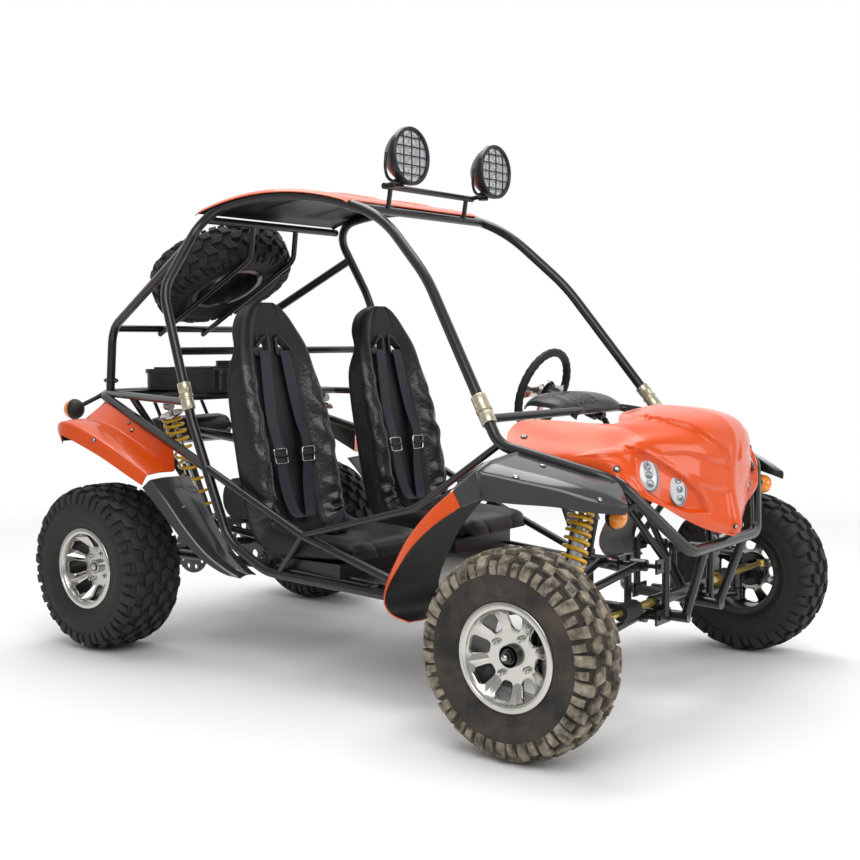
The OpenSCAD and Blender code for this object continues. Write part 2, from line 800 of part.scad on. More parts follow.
// Dash cowl: a domed hood over the steering column, open below
cowl_y = 250;
cowl_half_w = 200;
cowl_rows = [
    [-502, 872, 0.82],
    [-470, 890, 0.94],
    [-420, 892, 1.0],
    [-370, 884, 0.98],
    [-330, 866, 0.9],
    [-306, 842, 0.8],
];
cowl_section = [[-1, 1], [-0.9, 0.45], [-0.6, 0.12], [0, 0], [0.6, 0.12], [0.9, 0.45], [1, 1]];
cowl_drop = 40;
module dash_cowl() {
    grid = [for (row = cowl_rows) [for (c = cowl_section)
        [axle_x + row[0], cowl_y + c[0] * row[2] * cowl_half_w, row[1] - c[1] * cowl_drop * row[2]]]];
    color(plastic_grey) placed() difference() {
        sheet(grid, panel_t);
        rod(hub_at, knuckle_joint + column_dir * 60, shaft_d + 4 * run_gap);
        column_bracket(seat_gap);
        dash_tube(seat_gap);
    }
}

// Lamps on stalks, and the roof lights
front_signal = [axle_x + 149, 478, 598];
front_signal_root = mix(loop_turn, bumper_corner, 0.3);
front_signal_d = 58;
rear_signal = [signal_x + signal_d / 2, 450, 826];
stalk_d = 16;

module turn_signals() {
    color(amber) placed() both_sides() difference() {
        union() {
            translate(front_signal) sphere(d = front_signal_d);
            rod(front_signal, front_signal_root, stalk_d);
            translate(rear_signal) sphere(d = signal_d);
            rod(rear_signal, rear_corner + [18, -12, 0], stalk_d);
        }
        loop_tube(weld_gap);
        rear_loop_tube(weld_gap);
    }
}

bar_rise = [19.4, 74.7];
bar_at = [roof_front_tie[0] + bar_rise[0], 240, roof_front_tie[2] + bar_rise[1]];
bar_leg_y = 205;
spot_at = bar_at + [110, -9, 83];
spot_rim = 9;
spot_recess = 12;
grille_t = 5;

module light_bar() {
    leg = [roof_front_tie[0] + 6, bar_leg_y, roof_front_tie[2]];
    color(paint_black) placed() difference() {
        union() {
            rod(bar_at, flip(bar_at), rack_d);
            both_sides() rod([bar_at[0], bar_leg_y, bar_at[2]], leg, rack_d - 4);
        }
        rod(roof_front_tie, flip(roof_front_tie), brace_d + 2 * weld_gap);
    }
}

// Guard over a lens: bars each way, at shares of the radius.
module spot_grille() {
    reach = spot_d / 2 - spot_rim / 2;
    for (way = [[0, [-1 / 3, 1 / 3]], [90, [-0.6, -0.2, 0.2, 0.6]]]) rotate([0, 0, way[0]])
        for (k = way[1]) {
            half = sqrt(1 - k * k) * reach;
            translate([k * spot_d / 2 - grille_t / 2, -half, -grille_t])
                cube([grille_t, 2 * half, grille_t]);
        }
}

module spotlights() {
    r = spot_d / 2;
    bowl = [[0, -spot_depth], [r * 0.56, -spot_depth], [r * 0.84, -spot_depth * 0.66], [r, -spot_depth * 0.3],
            [r, 0], [r - spot_rim, 0], [r - spot_rim, -spot_recess], [0, -spot_recess]];
    color(paint_black) placed() both_sides() difference() {
        union() {
            translate(spot_at) rotate([0, 90, 0]) {
                rotate_extrude() polygon(bowl);
                spot_grille();
            }
            rod(spot_at - [spot_depth - 20, 0, 0], [bar_at[0], spot_at[1], bar_at[2]], rack_d - 2);
        }
        rod(bar_at, flip(bar_at), rack_d + 2 * weld_gap);
    }
}

// Wheels. The section of a tyre runs from the bead over the sidewall to the tread.
bead_r = rim_d / 2 - 14;
flange_t = 4;
tyre_gap = 0.2;
lug_count = 22;
// Rows of lugs. Columns: inner and outer end as shares of the half width, drop of the top below the tread at
// both ends, length along the tread, place in the pitch, last side that has the row.
front_lugs = [
    [0.04, 0.37, 0, 1, 36, 0, 1],
    [0.52, 0.96, 4, 34, 33, 0.5, 1],
];
rear_lugs = [
    [-0.13, 0.13, 0, 0, 36, 0, 0],
    [0.24, 0.54, 0, 2, 36, 0.5, 1],
    [0.63, 0.97, 3, 34, 34, 0, 1],
];

// One side of the section, from the bead over the sidewall to the tread. Columns: radius, distance across.
function tyre_half(r, w, bead) = [
    [bead_r, bead], [rim_d / 2 + 4, bead],
    [mix(rim_d / 2, r, 0.28), w / 2 - 3], [mix(rim_d / 2, r, 0.52), w / 2],
    [mix(rim_d / 2, r, 0.8), w / 2 - 6], [r - lug_h - 10, w / 2 - 16], [r - lug_h, w / 2 - 42]];

function tyre_section(r, w, bead) =
    concat([for (p = tyre_half(r, w, bead)) [p[0], -p[1]]], reversed(tyre_half(r, w, bead)));

// A lug is a block from under the carcass to its top, higher at its inner end.
module lug(r, w, row) {
    ends = [w / 2 * row[0], w / 2 * row[1]];
    tops = [r - row[2], r - row[3]];
    sink = lug_h + 8;
    polyhedron(
        points = [for (e = [0, 1]) for (s = [-1, 1]) for (h = [sink, 0])
            [tops[e] - h, s * (row[4] / 2 + (h > 0 ? 2 : 0)), ends[e]]],
        faces = [[0, 1, 3, 2], [4, 6, 7, 5], [0, 4, 5, 1], [2, 3, 7, 6], [1, 5, 7, 3], [0, 2, 6, 4]]);
}

module tyre(r, w, bead, lugs) {
    rotate([-90, 0, 0]) {
        rotate_extrude($fn = 96) polygon(tyre_section(r, w, bead));
        for (row = lugs) for (side = [0:row[6]]) mirror([0, 0, side]) for (i = [0:lug_count - 1])
            rotate([0, 0, 360 / lug_count * (i + row[5] + side / 2)]) lug(r, w, row);
    }
}

front_bead = front_tyre_w / 2 - 18;
rear_bead = rear_tyre_w / 2 - 18;
barrel_t = 7;
hub_d = 58;
hub_bore = 24;
face_t = 9;
lug_circle = 78;

// Dish of a rim, from the pad on the hub out towards the lip. Columns: radius, rise above the pad.
rim_dish = [[72, 0], [84, 2], [96, 7], [108, 16]];
slot_in = [66, 24];
slot_out = [92, 46];

// Rim: barrel with two flanges, and a slotted dish. Positive y is the outer side.
module rim_solid(bead, face_y, bore) {
    half = bead + tyre_gap + flange_t;
    bed_r = bead_r - tyre_gap;
    well_r = bed_r - barrel_t;
    barrel = [[well_r, -half], [rim_d / 2, -half], [rim_d / 2, -half + flange_t], [bed_r, -half + flange_t],
              [bed_r, half - flange_t], [rim_d / 2, half - flange_t], [rim_d / 2, half], [well_r, half]];
    dish = concat([[bore / 2, 0]], rim_dish, [[well_r + 1, half - face_y - 9]]);
    rotate([-90, 0, 0]) {
        rotate_extrude($fn = 96) polygon(barrel);
        translate([0, 0, face_y]) difference() {
            rotate_extrude($fn = 96) polygon(concat(dish, [for (p = reversed(dish)) p - [0, face_t]]));
            for (i = [0:rim_slots - 1])
                rotate([0, 0, 360 / rim_slots * (i + 0.5)]) translate([0, 0, -face_t - 1])
                linear_extrude(half - face_y + face_t) {
                    translate([slot_in[0], 0]) circle(d = slot_in[1]);
                    translate([slot_out[0], 0]) circle(d = slot_out[1]);
                    polygon([[slot_in[0], -slot_in[1] / 2], [slot_out[0], -slot_out[1] / 2],
                             [slot_out[0], slot_out[1] / 2], [slot_in[0], slot_in[1] / 2]]);
                }
        }
    }
}

spindle_len = 128;

module hub_solid(face_y) {
    rotate([-90, 0, 0]) difference() {
        union() {
            translate([0, 0, face_y - 66]) cylinder(h = 81, d = hub_d);
            translate([0, 0, face_y - 66]) cylinder(h = 92, d = hub_bore + 8);
            translate([0, 0, face_y - face_t - 8 - seat_gap]) cylinder(h = 8, d = lug_circle + 34);
        }
        translate([0, 0, face_y - 67]) cylinder(h = 80, d = hub_bore + 0.1);
    }
}

module at_front_wheel(side) {
    placed() translate([axle_x, side * front_track / 2, front_r]) mirror([0, side < 0 ? 1 : 0, 0]) children();
}

front_face_y = 34;
rear_face_y = 40;

module front_rim(side) {
    color(machined) at_front_wheel(side) rim_solid(front_bead, front_face_y, hub_d + 2 * seat_gap);
}

module front_tyre(side) {
    color(rubber_black) at_front_wheel(side) tyre(front_r, front_tyre_w, front_bead, front_lugs);
}

module front_hub(side) {
    color(paint_black) at_front_wheel(side) hub_solid(front_face_y);
}

// Knuckle: upright between the arm eyes, spindle and steering arm
eye_h = 36;
eye_d = 42;
upper_eye_z = front_r + 75;
lower_eye_z = front_r - 65;
stud_d = 14;
arm_plate_t = 12;
tie_z = front_r + 48;
rod_end_t = 20;
tie_x = axle_x + steer_arm;
tie_end_y = kingpin_y - 8;

module knuckle(side) {
    arm_z = tie_z - rod_end_t / 2 - pin_gap - arm_plate_t;
    upright = [lower_eye_z + eye_h / 2 + run_gap, upper_eye_z - eye_h / 2 - run_gap];
    color(paint_black) placed() mirror([0, side < 0 ? 1 : 0, 0]) {
        translate([axle_x, kingpin_y, upright[0]]) cylinder(h = upright[1] - upright[0], d = eye_d);
        translate([axle_x, kingpin_y, lower_eye_z - 8])
            cylinder(h = upper_eye_z - lower_eye_z + 16, d = stud_d);
        rod([axle_x, kingpin_y, front_r], [axle_x, kingpin_y + spindle_len, front_r], hub_bore);
        translate([axle_x, kingpin_y - 19, arm_z]) cube([steer_arm, 30, arm_plate_t]);
        translate([tie_x, tie_end_y, arm_z]) cylinder(h = arm_plate_t, d = 34);
    }
}

// Suspension arms: two legs from the inner sleeves to the eye on the kingpin
arm_d = 24;
sleeve_x = [axle_x - 66, axle_x + 62];
arm_sleeve = [34, 46];

module control_arm(pivot_z, eye_z) {
    difference() {
        union() {
            for (x = sleeve_x) {
                rod([x, pivot_y, pivot_z], [axle_x, kingpin_y, eye_z], arm_d);
                rod([x - arm_sleeve[1] / 2, pivot_y, pivot_z], [x + arm_sleeve[1] / 2, pivot_y, pivot_z],
                    arm_sleeve[0]);
            }
            translate([axle_x, kingpin_y, eye_z - eye_h / 2]) cylinder(h = eye_h, d = eye_d);
        }
        translate([axle_x, kingpin_y, eye_z - 100]) cylinder(h = 200, d = stud_d + 2 * pin_gap);
        for (z = [-1, 1]) translate([axle_x, kingpin_y, eye_z + z * (eye_h / 2 + 25)])
            cylinder(h = 50, d = 80, center = true);
        rod([sleeve_x[0] - 100, pivot_y, pivot_z], [sleeve_x[1] + 100, pivot_y, pivot_z],
            pivot_pin_d + 2 * pin_gap);
    }
}

shock_foot = [axle_x + 4, 470, 408];
shock_saddle = [56, 44];

module upper_arms() {
    saddle_z = shock_foot[2] - 15 - seat_gap;
    arm_z = mix(upper_pivot_z, upper_eye_z, (shock_foot[1] - pivot_y) / (kingpin_y - pivot_y));
    color(paint_black) placed() both_sides() {
        control_arm(upper_pivot_z, upper_eye_z);
        translate([shock_foot[0] - shock_saddle[0] / 2, shock_foot[1] - shock_saddle[1] / 2, arm_z])
            cube([shock_saddle[0], shock_saddle[1], saddle_z - arm_z]);
    }
}

module lower_arms() {
    color(paint_black) placed() both_sides() control_arm(lower_pivot_z, lower_eye_z);
}

// Dampers and springs, front and rear
rear_shock_top = mix(tank_rail_rear, tank_rail_front, tank_ties[1]) + [0, -60, -brace_d / 2 - 15 - seat_gap];
rear_shock_foot = [-axle_x + 196, 236, 402];
body_d = 46;
rod_d = 16;
perch_d = 82;
perch_t = 6;
eye_w = 26;
shocks = [[shock_foot, shock_top], [rear_shock_foot, rear_shock_top]];
spring_inset = 34;

module damper(foot, top) {
    dir = unit(top - foot);
    len = norm(top - foot);
    rod(foot, foot + dir * len * 0.55, body_d);
    rod(foot, top, rod_d);
    rod(foot + dir * (spring_inset - perch_t), foot + dir * spring_inset, perch_d);
    rod(top - dir * spring_inset, top - dir * (spring_inset - perch_t), perch_d);
    for (p = [foot, top]) rod(p - [eye_w / 2, 0, 0], p + [eye_w / 2, 0, 0], 30);
}

module dampers() {
    color(machined) placed() both_sides() difference() {
        for (s = shocks) damper(s[0], s[1]);
        rod(shock_top - [shock_ear[0], 0, 0], shock_top + [shock_ear[0], 0, 0], 12 + 2 * pin_gap);
    }
}

// Helical wire: rings of a six-sided section carried up the coil.
module coil(h, turns, d, wire) {
    steps = 12;
    sides = 6;
    n = turns * steps;
    r = (d - wire) / 2;
    rise = h - wire;
    points = [for (i = [0:n]) for (j = [0:sides - 1])
        let (a = 360 * i / steps, b = 360 * j / sides, q = r + wire / 2 * cos(b))
        [q * cos(a), q * sin(a), wire / 2 + rise * i / n + wire / 2 * sin(b)]];
    faces = concat(
        [for (i = [0:n - 1]) for (j = [0:sides - 1])
            let (k = (j + 1) % sides)
            [i * sides + j, i * sides + k, (i + 1) * sides + k, (i + 1) * sides + j]],
        [[for (j = [sides - 1:-1:0]) j]],
        [[for (j = [0:sides - 1]) n * sides + j]]);
    polyhedron(points = points, faces = faces);
}

module springs() {
    color(spring_yellow) placed() both_sides() for (s = shocks) {
        dir = unit(s[1] - s[0]);
        frame_at(s[0] + dir * (spring_inset + seat_gap), dir, [1, 0, 0])
            coil(norm(s[1] - s[0]) - 2 * (spring_inset + seat_gap), coil_turns, coil_d, wire_d);
    }
}

// Rear swing arm on its cross tube, with the axle's bearing housings
swing_y = 236;
bearing_d = 70;
bearing_w = 44;

module swing_arm() {
    sleeve_half = swing_pivot[1] - brace_d / 2 - 4;
    knee = [swing_pivot[0] - 60, 0, swing_pivot[2] - 60];
    color(paint_black) placed() difference() {
        union() {
            rod([swing_pivot[0], -sleeve_half, swing_pivot[2]], [swing_pivot[0], sleeve_half, swing_pivot[2]],
                44);
            rod([knee[0], -swing_y, knee[2]], [knee[0], swing_y, knee[2]], 40);
            both_sides() {
                rod([swing_pivot[0], sleeve_half - 30, swing_pivot[2]], [knee[0], sleeve_half - 30, knee[2]],
                    30);
                rod([knee[0], swing_y, knee[2]], [-axle_x, swing_y, rear_r], 34);
                rod([-axle_x, swing_y - bearing_w / 2, rear_r], [-axle_x, swing_y + bearing_w / 2, rear_r],
                    bearing_d);
                translate([rear_shock_foot[0] - 22, swing_y - 16, rear_r])
                    cube([44, 32, rear_shock_foot[2] - 15 - seat_gap - rear_r]);
            }
        }
        rod([swing_pivot[0], -400, swing_pivot[2]], [swing_pivot[0], 400, swing_pivot[2]],
            brace_d + 2 * pin_gap);
        rod([-axle_x, -400, rear_r], [-axle_x, 400, rear_r], axle_d + 2 * pin_gap);
    }
}

// Rear axle with its wheel hubs, chain wheel and brake disc
chainwheel_d = 190;
disc_d = 176;

chain_teeth = 37;
tooth_h = 9;
toothed = [for (i = [0:chain_teeth - 1]) for (k = [[0, 0], [0.22, 1], [0.48, 1], [0.7, 0]])
    let (a = 360 / chain_teeth * (i + k[0]), r = chainwheel_d / 2 - tooth_h * (1 - k[1]))
    r * [cos(a), sin(a)]];

// Plate of its child's outline with a ring of holes: thickness, the ring's radius, hole and count.
module pierced(t, ring_r, hole_d, count) {
    difference() {
        linear_extrude(t) children();
        for (i = [0:count - 1]) rotate([0, 0, 360 / count * i]) translate([ring_r, 0, -1])
            cylinder(h = t + 2, d = hole_d, $fn = 24);
    }
}

module rear_axle() {
    hub_in = rear_track / 2 + rear_face_y;
    color(paint_black) placed() translate([-axle_x, 0, rear_r]) rotate([-90, 0, 0]) {
        cylinder(h = rear_track + 2 * rear_face_y + 40, d = axle_d, center = true);
        for (s = [-1, 1]) {
            translate([0, 0, s * (hub_in - 38)]) cylinder(h = 52, d = hub_d, center = true);
            translate([0, 0, s * (hub_in - face_t - 4 - seat_gap)])
                cylinder(h = 8, d = lug_circle + 34, center = true);
        }
        translate([0, 0, 146]) pierced(8, 62, 34, 6) polygon(toothed);
        translate([0, 0, -152.5]) pierced(5, 66, 18, 10) circle(d = disc_d);
    }
}

module rear_rims() {
    color(machined) placed() for (s = [-1, 1])
        translate([-axle_x, s * rear_track / 2, rear_r]) mirror([0, s < 0 ? 1 : 0, 0])
            rim_solid(rear_bead, rear_face_y, axle_d + 2 * seat_gap);
}

module rear_tyres() {
    color(rubber_black) placed() for (s = [-1, 1])
        translate([-axle_x, s * rear_track / 2, rear_r]) tyre(rear_r, rear_tyre_w, rear_bead, rear_lugs);
}

// Spare wheel on its sloping rack
rack_y = 110;
rack_rear = [-axle_x - 203, rack_y, 1102];
rack_knee = [-axle_x + 302, rack_y, 1370];
rack_top = [cage_roof_rear[0] + 8, rack_y, cage_roof_rear[2] - 22];
rack_dir = unit(rack_knee - rack_rear);
rack_normal = [-rack_dir[2], 0, rack_dir[0]];
spare_foot = mix(rack_rear, rack_knee, 0.545);
spare_at = [spare_foot[0], 0, spare_foot[2]] + rack_normal * (rack_d / 2 + front_tyre_w / 2 + seat_gap);

module rack_tube(grow = 0) {
    bent_tube([rack_rear, rack_knee, rack_top], [0, 50, 0], rack_d + 2 * grow);
}

module spare_rack() {
    color(paint_black) placed() both_sides() difference() {
        rack_tube();
        rod(stay_bend, flip(stay_bend), brace_d + 2 * weld_gap);
        rod(roof_rear_tie, flip(roof_rear_tie), brace_d + 2 * weld_gap);
    }
}

module at_spare() {
    placed() frame_at(spare_at, rack_normal, rack_dir) rotate([90, 0, 0]) children();
}

module spare_tyre() {
    color(rubber_black) at_spare() tyre(front_r, front_tyre_w, front_bead, front_lugs);
}

module spare_rim() {
    color(machined) at_spare() rim_solid(front_bead, front_face_y, hub_d + 2 * seat_gap);
}

// Engine on the cradle: crankcase on two feet, finned barrel and head, belt case, fan cover, inlet
engine_size = [330, 340, 250];
engine_slope = atan2(cradle_rear[2] - cradle_front[2], cradle_front[0] - cradle_rear[0]);
engine_foot = mix(cradle_front, cradle_rear, 0.94);
barrel_x = 90;
barrel_top = engine_size[2] + 90;
fin_count = 9;
fin_t = 4;
port_z = 292;

function engine_point(p) =
    [engine_foot[0] + p[0] * cos(engine_slope) + p[2] * sin(engine_slope), p[1],
     engine_foot[2] - p[0] * sin(engine_slope) + p[2] * cos(engine_slope)];

// Outline of a block with round corners
function rounded(w, h, r) =
    [for (c = [[w - r, r, -90], [w - r, h - r, 0], [r, h - r, 90], [r, r, 180]]) for (a = [0:18:90])
        [c[0] + r * cos(c[2] + a), c[1] + r * sin(c[2] + a)]];

// Its child's x and z lie along the engine, drawn from a to b across it.
module across(a, b) {
    translate([0, b, 0]) rotate([90, 0, 0]) linear_extrude(b - a) children();
}

module engine() {
    color([0.3, 0.3, 0.31]) placed()
        translate([engine_foot[0], 0, engine_foot[2]]) rotate([0, engine_slope, 0])
            translate([0, 0, brace_d / 2 + seat_gap]) {
                for (x = [30, 250]) translate([x, -engine_size[1] / 2, 0]) cube([46, engine_size[1], 22]);
                across(-112, 112) translate([4, 8]) polygon(rounded(engine_size[0] - 8, 118, 40));
                across(111, 165) translate([6, 6]) polygon(rounded(engine_size[0] - 12, 140, 66));
                across(-165, -111) translate([barrel_x - 72, 26]) polygon(rounded(150, 150, 70));
                translate([barrel_x, 0, 60]) cylinder(h = port_z - 70, d = 104);
                for (i = [0:fin_count - 1]) translate([barrel_x - 64, -62, 134 + i * 13])
                    linear_extrude(fin_t) polygon(rounded(128, 124, 18));
                translate([barrel_x - 54, -56, port_z - 40])
                    linear_extrude(64) polygon(rounded(108, 112, 20));
                translate([barrel_x, 0, barrel_top - 26]) cylinder(h = 26, d = 84);
                translate([barrel_x, 0, 225]) rotate([0, 90, 0]) cylinder(h = 130, d = 38);
                translate([barrel_x + 104, -48, 186]) cube([116, 96, 64]);
            }
}

// Tank: a moulded box with a ribbed lid and a filler cap
tank_size = [400, 460, 84];
tank_rib_h = 7;
tank_lid_h = 16;
tank_ribs = 6;

module fuel_tank() {
    p = mix(tank_rail_rear, tank_rail_front, tank_ties[0]);
    box_h = tank_size[2] - tank_rib_h;
    color(plastic_grey) placed() translate([p[0] - 40, -tank_size[1] / 2, p[2] + brace_d / 2 + seat_gap]) {
        translate([6, 6, 0])
            linear_extrude(box_h) polygon(rounded(tank_size[0] - 12, tank_size[1] - 12, 44));
        translate([0, 0, box_h - tank_lid_h])
            linear_extrude(tank_lid_h) polygon(rounded(tank_size[0], tank_size[1], 50));
        for (i = [0:tank_ribs - 1]) translate([50, tank_size[1] * (i + 0.5) / tank_ribs - 12, box_h - 1])
            cube([tank_size[0] - 100, 24, tank_rib_h + 1]);
        translate([tank_size[0] / 2 + 20, tank_size[1] / 2, box_h - 1])
            cylinder(h = tank_rib_h + 23, d = 70);
    }
}

// Muffler: a drum with rounded ends on two hangers, its tail pipe, and the pipe from the engine's port
muffler_d = 110;
muffler_half = 190;
exhaust_d = 34;

module muffler() {
    at = [rear_corner[0] + 90, 0, rear_corner[2] - 150];
    r = muffler_d / 2;
    end = 2 * muffler_half;
    drum = [[0, 0], [r * 0.6, 0], [r * 0.9, 14], [r, 40],
            [r, end - 40], [r * 0.9, end - 14], [r * 0.6, end], [0, end]];
    away = [-cos(engine_slope), 0, sin(engine_slope)];
    port = engine_point([barrel_x - 54, 0, port_z - 6 + brace_d / 2]) + away * 2 * seat_gap;
    color([0.25, 0.25, 0.25]) placed() difference() {
        union() {
            translate(at - [0, muffler_half, 0]) rotate([-90, 0, 0]) rotate_extrude() polygon(drum);
            for (y = [-120, 120]) rod(at + [0, y, 0], [rear_corner[0] + 4, y, rear_corner[2]], 14);
            rod(at + [0, muffler_half - 20, 0], at + [0, muffler_half + 34, 0], 28);
            rod(port, at, exhaust_d);
        }
        rear_loop_tube(weld_gap);
    }
}

// Pedals on the floor sheet
module pedals() {
    foot_w = brace_d / 2 + floor_t + seat_gap + 1.4;
    color(paint_black) placed() for (y = [240, 380]) {
        rod(floor_point(floor_len - 110, y, foot_w), floor_point(floor_len - 90, y, foot_w + 150), 16);
        on_floor() translate([floor_len - 100, y - 32, foot_w + 140]) rotate([0, -25, 0]) cube([8, 64, 90]);
    }
}

// Steering rack, its housing on the front rails, and the shafts up to the wheel
rack_bar_d = 24;
housing_d = 36;
housing_half = 168;
tie_d = 16;
boot_y = [262, 350];
boot_d = 44;
pinion_at = [tie_x, 30, tie_z];
shaft_dir = unit(knuckle_joint - pinion_at);
pinion_len = 44;

module rack_housing() {
    color(paint_black) placed() difference() {
        union() {
            rod([tie_x, -housing_half, tie_z], [tie_x, housing_half, tie_z], housing_d);
            for (s = [-1, 1]) translate([tie_x - 14, s * 118 - 14, rail_front[2]])
                cube([28, 28, tie_z - rail_front[2]]);
            rod(pinion_at, pinion_at + shaft_dir * pinion_len, 34);
        }
        rod([tie_x, -400, tie_z], [tie_x, 400, tie_z], rack_bar_d + 2 * pin_gap);
        both_sides() rail_tube(weld_gap);
    }
}

module steering_rack() {
    color(zinc) placed() {
        rod([tie_x, -boot_y[0] - 30, tie_z], [tie_x, boot_y[0] + 30, tie_z], rack_bar_d);
        both_sides() {
            rod([tie_x, boot_y[0], tie_z], [tie_x, tie_end_y, tie_z], tie_d);
            rod([tie_x, boot_y[0], tie_z], [tie_x, boot_y[1], tie_z], boot_d);
            translate([tie_x, tie_end_y, tie_z - rod_end_t / 2]) cylinder(h = rod_end_t, d = 28);
        }
    }
}

module steering_shaft() {
    foot = pinion_at + shaft_dir * (pinion_len + pin_gap);
    color(paint_black) placed() {
        rod(foot, knuckle_joint - shaft_dir * 12, shaft_d);
        rod(foot, foot + shaft_dir * 60, shaft_d + 10);
    }
}

module steering_wheel() {
    rim_section = 28;
    reach = wheel_d / 2 - rim_section / 2 + 4;
    column = norm(knuckle_joint - hub_at) - 10;
    color(rubber_black) placed() frame_at(hub_at, -column_dir, [0, 1, 0]) {
        rotate_extrude($fn = 96) translate([(wheel_d - rim_section) / 2, 0]) circle(d = rim_section);
        translate([0, 0, -20]) cylinder(h = 24, d = 76);
        for (a = [0, 90, 180]) rotate([0, 0, a]) translate([0, 0, -12]) difference() {
            linear_extrude(6) polygon([[0, -24], [reach, -15], [reach, 15], [0, 24]]);
            for (x = [0.46, 0.64, 0.8]) translate([x * reach, 0, -1]) cylinder(h = 8, d = 16, $fn = 24);
        }
        translate([0, 0, -column]) cylinder(h = column, d = shaft_d);
    }
}

module knuckle_right() knuckle(-1);
module knuckle_left() knuckle(1);
module front_rim_right() front_rim(-1);
module front_rim_left() front_rim(1);
module front_tyre_right() front_tyre(-1);
module front_tyre_left() front_tyre(1);
module front_hub_right() front_hub(-1);
module front_hub_left() front_hub(1);

cage_sides();
cage_cross_tubes();
rear_stays();
front_loop();
sills();
side_braces();
rear_loop();
rear_frame();
floor_frame();
front_bulkhead();
cage_sleeves();
roof_panel();
hood();
front_fenders();
front_mudguards();
rear_fenders();
rear_mudguards();
floor_pan();
seat_base();
seats();
dash_cowl();
headlamps();
turn_signals();
light_bar();
spotlights();
spare_tyre();
spare_rim();
spare_rack();
engine();
fuel_tank();
muffler();
upper_arms();
lower_arms();
dampers();
springs();
swing_arm();
pedals();
rack_housing();
knuckle_right();
knuckle_left();
front_rim_right();
front_rim_left();
front_tyre_right();
front_tyre_left();
front_hub_right();
front_hub_left();
rear_axle();
rear_rims();
rear_tyres();
steering_wheel();
steering_shaft();
steering_rack();
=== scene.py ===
"""Two-seat off-road buggy kart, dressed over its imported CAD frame.

Sizes are in millimetres, from the middle of the wheelbase on the ground: x forward, y to the left, z up.
"""
import math

import bmesh
import bpy
import numpy as np
from mathutils import Matrix


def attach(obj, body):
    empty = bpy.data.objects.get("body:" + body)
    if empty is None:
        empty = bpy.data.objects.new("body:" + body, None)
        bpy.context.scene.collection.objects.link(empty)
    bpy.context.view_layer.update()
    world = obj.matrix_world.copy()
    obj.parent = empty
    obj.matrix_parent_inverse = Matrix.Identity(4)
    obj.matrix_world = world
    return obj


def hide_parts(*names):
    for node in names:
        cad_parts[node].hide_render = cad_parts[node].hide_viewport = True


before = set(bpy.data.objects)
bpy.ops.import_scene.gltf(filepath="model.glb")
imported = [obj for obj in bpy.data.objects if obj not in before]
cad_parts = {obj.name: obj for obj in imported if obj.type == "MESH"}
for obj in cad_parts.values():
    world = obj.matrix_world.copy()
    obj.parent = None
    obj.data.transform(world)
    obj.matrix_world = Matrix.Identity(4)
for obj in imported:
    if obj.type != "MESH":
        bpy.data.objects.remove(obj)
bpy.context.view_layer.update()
scene = bpy.context.scene

# Stage
# A pale floor that fades into a white backdrop behind the kart, a dimmer room in front, two soft boxes
# overhead and one low fill, seen by a camera at the right front corner.
MIDDLE = np.array([-26.0, 0, 0])
CAMERA_AT = (2.6466, -3.2919, 1.0389)
CAMERA_YAW, CAMERA_PITCH, CAMERA_ROLL = 127.425, -3.771, -0.52
CAMERA_LENS, CAMERA_SENSOR = 51.86, 36
FLOOR_GREY, FLOOR_HALF = "#FAFAF9", 40
FLOOR_CLEAR, FLOOR_GONE = 2.2, 5.0
WORLD_WHITE, BACKDROP, ROOM = "#FFFFFF", (-0.608, 0.794, 0.0), 0.42
# Soft boxes: name, place, aim, size, watts
BOXES = [("key box", (2.6, -2.8, 3.6), (0.2, 0, 0.5), 3.0, 95),
         ("top box", (-0.8, 0.6, 4.4), (0, 0, 0.5), 3.2, 120),
         ("fill box", (4.4, 1.2, 1.6), (0.6, 0, 0.5), 1.8, 35)]
COAT_ROUGH, PATCH_FROM, PATCH_TO, MOTTLE_DARK = 0.06, 0.36, 0.72, 0.6


def srgb(code):
    """A colour written #RRGGBB as the linear values that a shader takes."""
    c = np.array([int(code[i:i + 2], 16) for i in (1, 3, 5)]) / 255
    linear = np.where(c <= 0.04045, c / 12.92, ((c + 0.055) / 1.055) ** 2.4)
    return (*map(float, linear), 1.0)


def unit(v):
    """Vectors made one long."""
    return v / np.linalg.norm(v, axis=-1, keepdims=True)


def add(tree, kind, settings=(), **sockets):
    """Adds one node of that kind, with its settings and the values or links of its sockets."""
    made = tree.nodes.new(kind)
    for key, value in dict(settings).items():
        setattr(made, key, value)
    for key, value in sockets.items():
        numbered = key[0] == "i" and key[1:].isdigit()
        socket = made.inputs[int(key[1:]) if numbered else key.replace("_", " ")]
        if isinstance(value, bpy.types.NodeSocket):
            tree.links.new(value, socket)
        else:
            socket.default_value = value
    return made


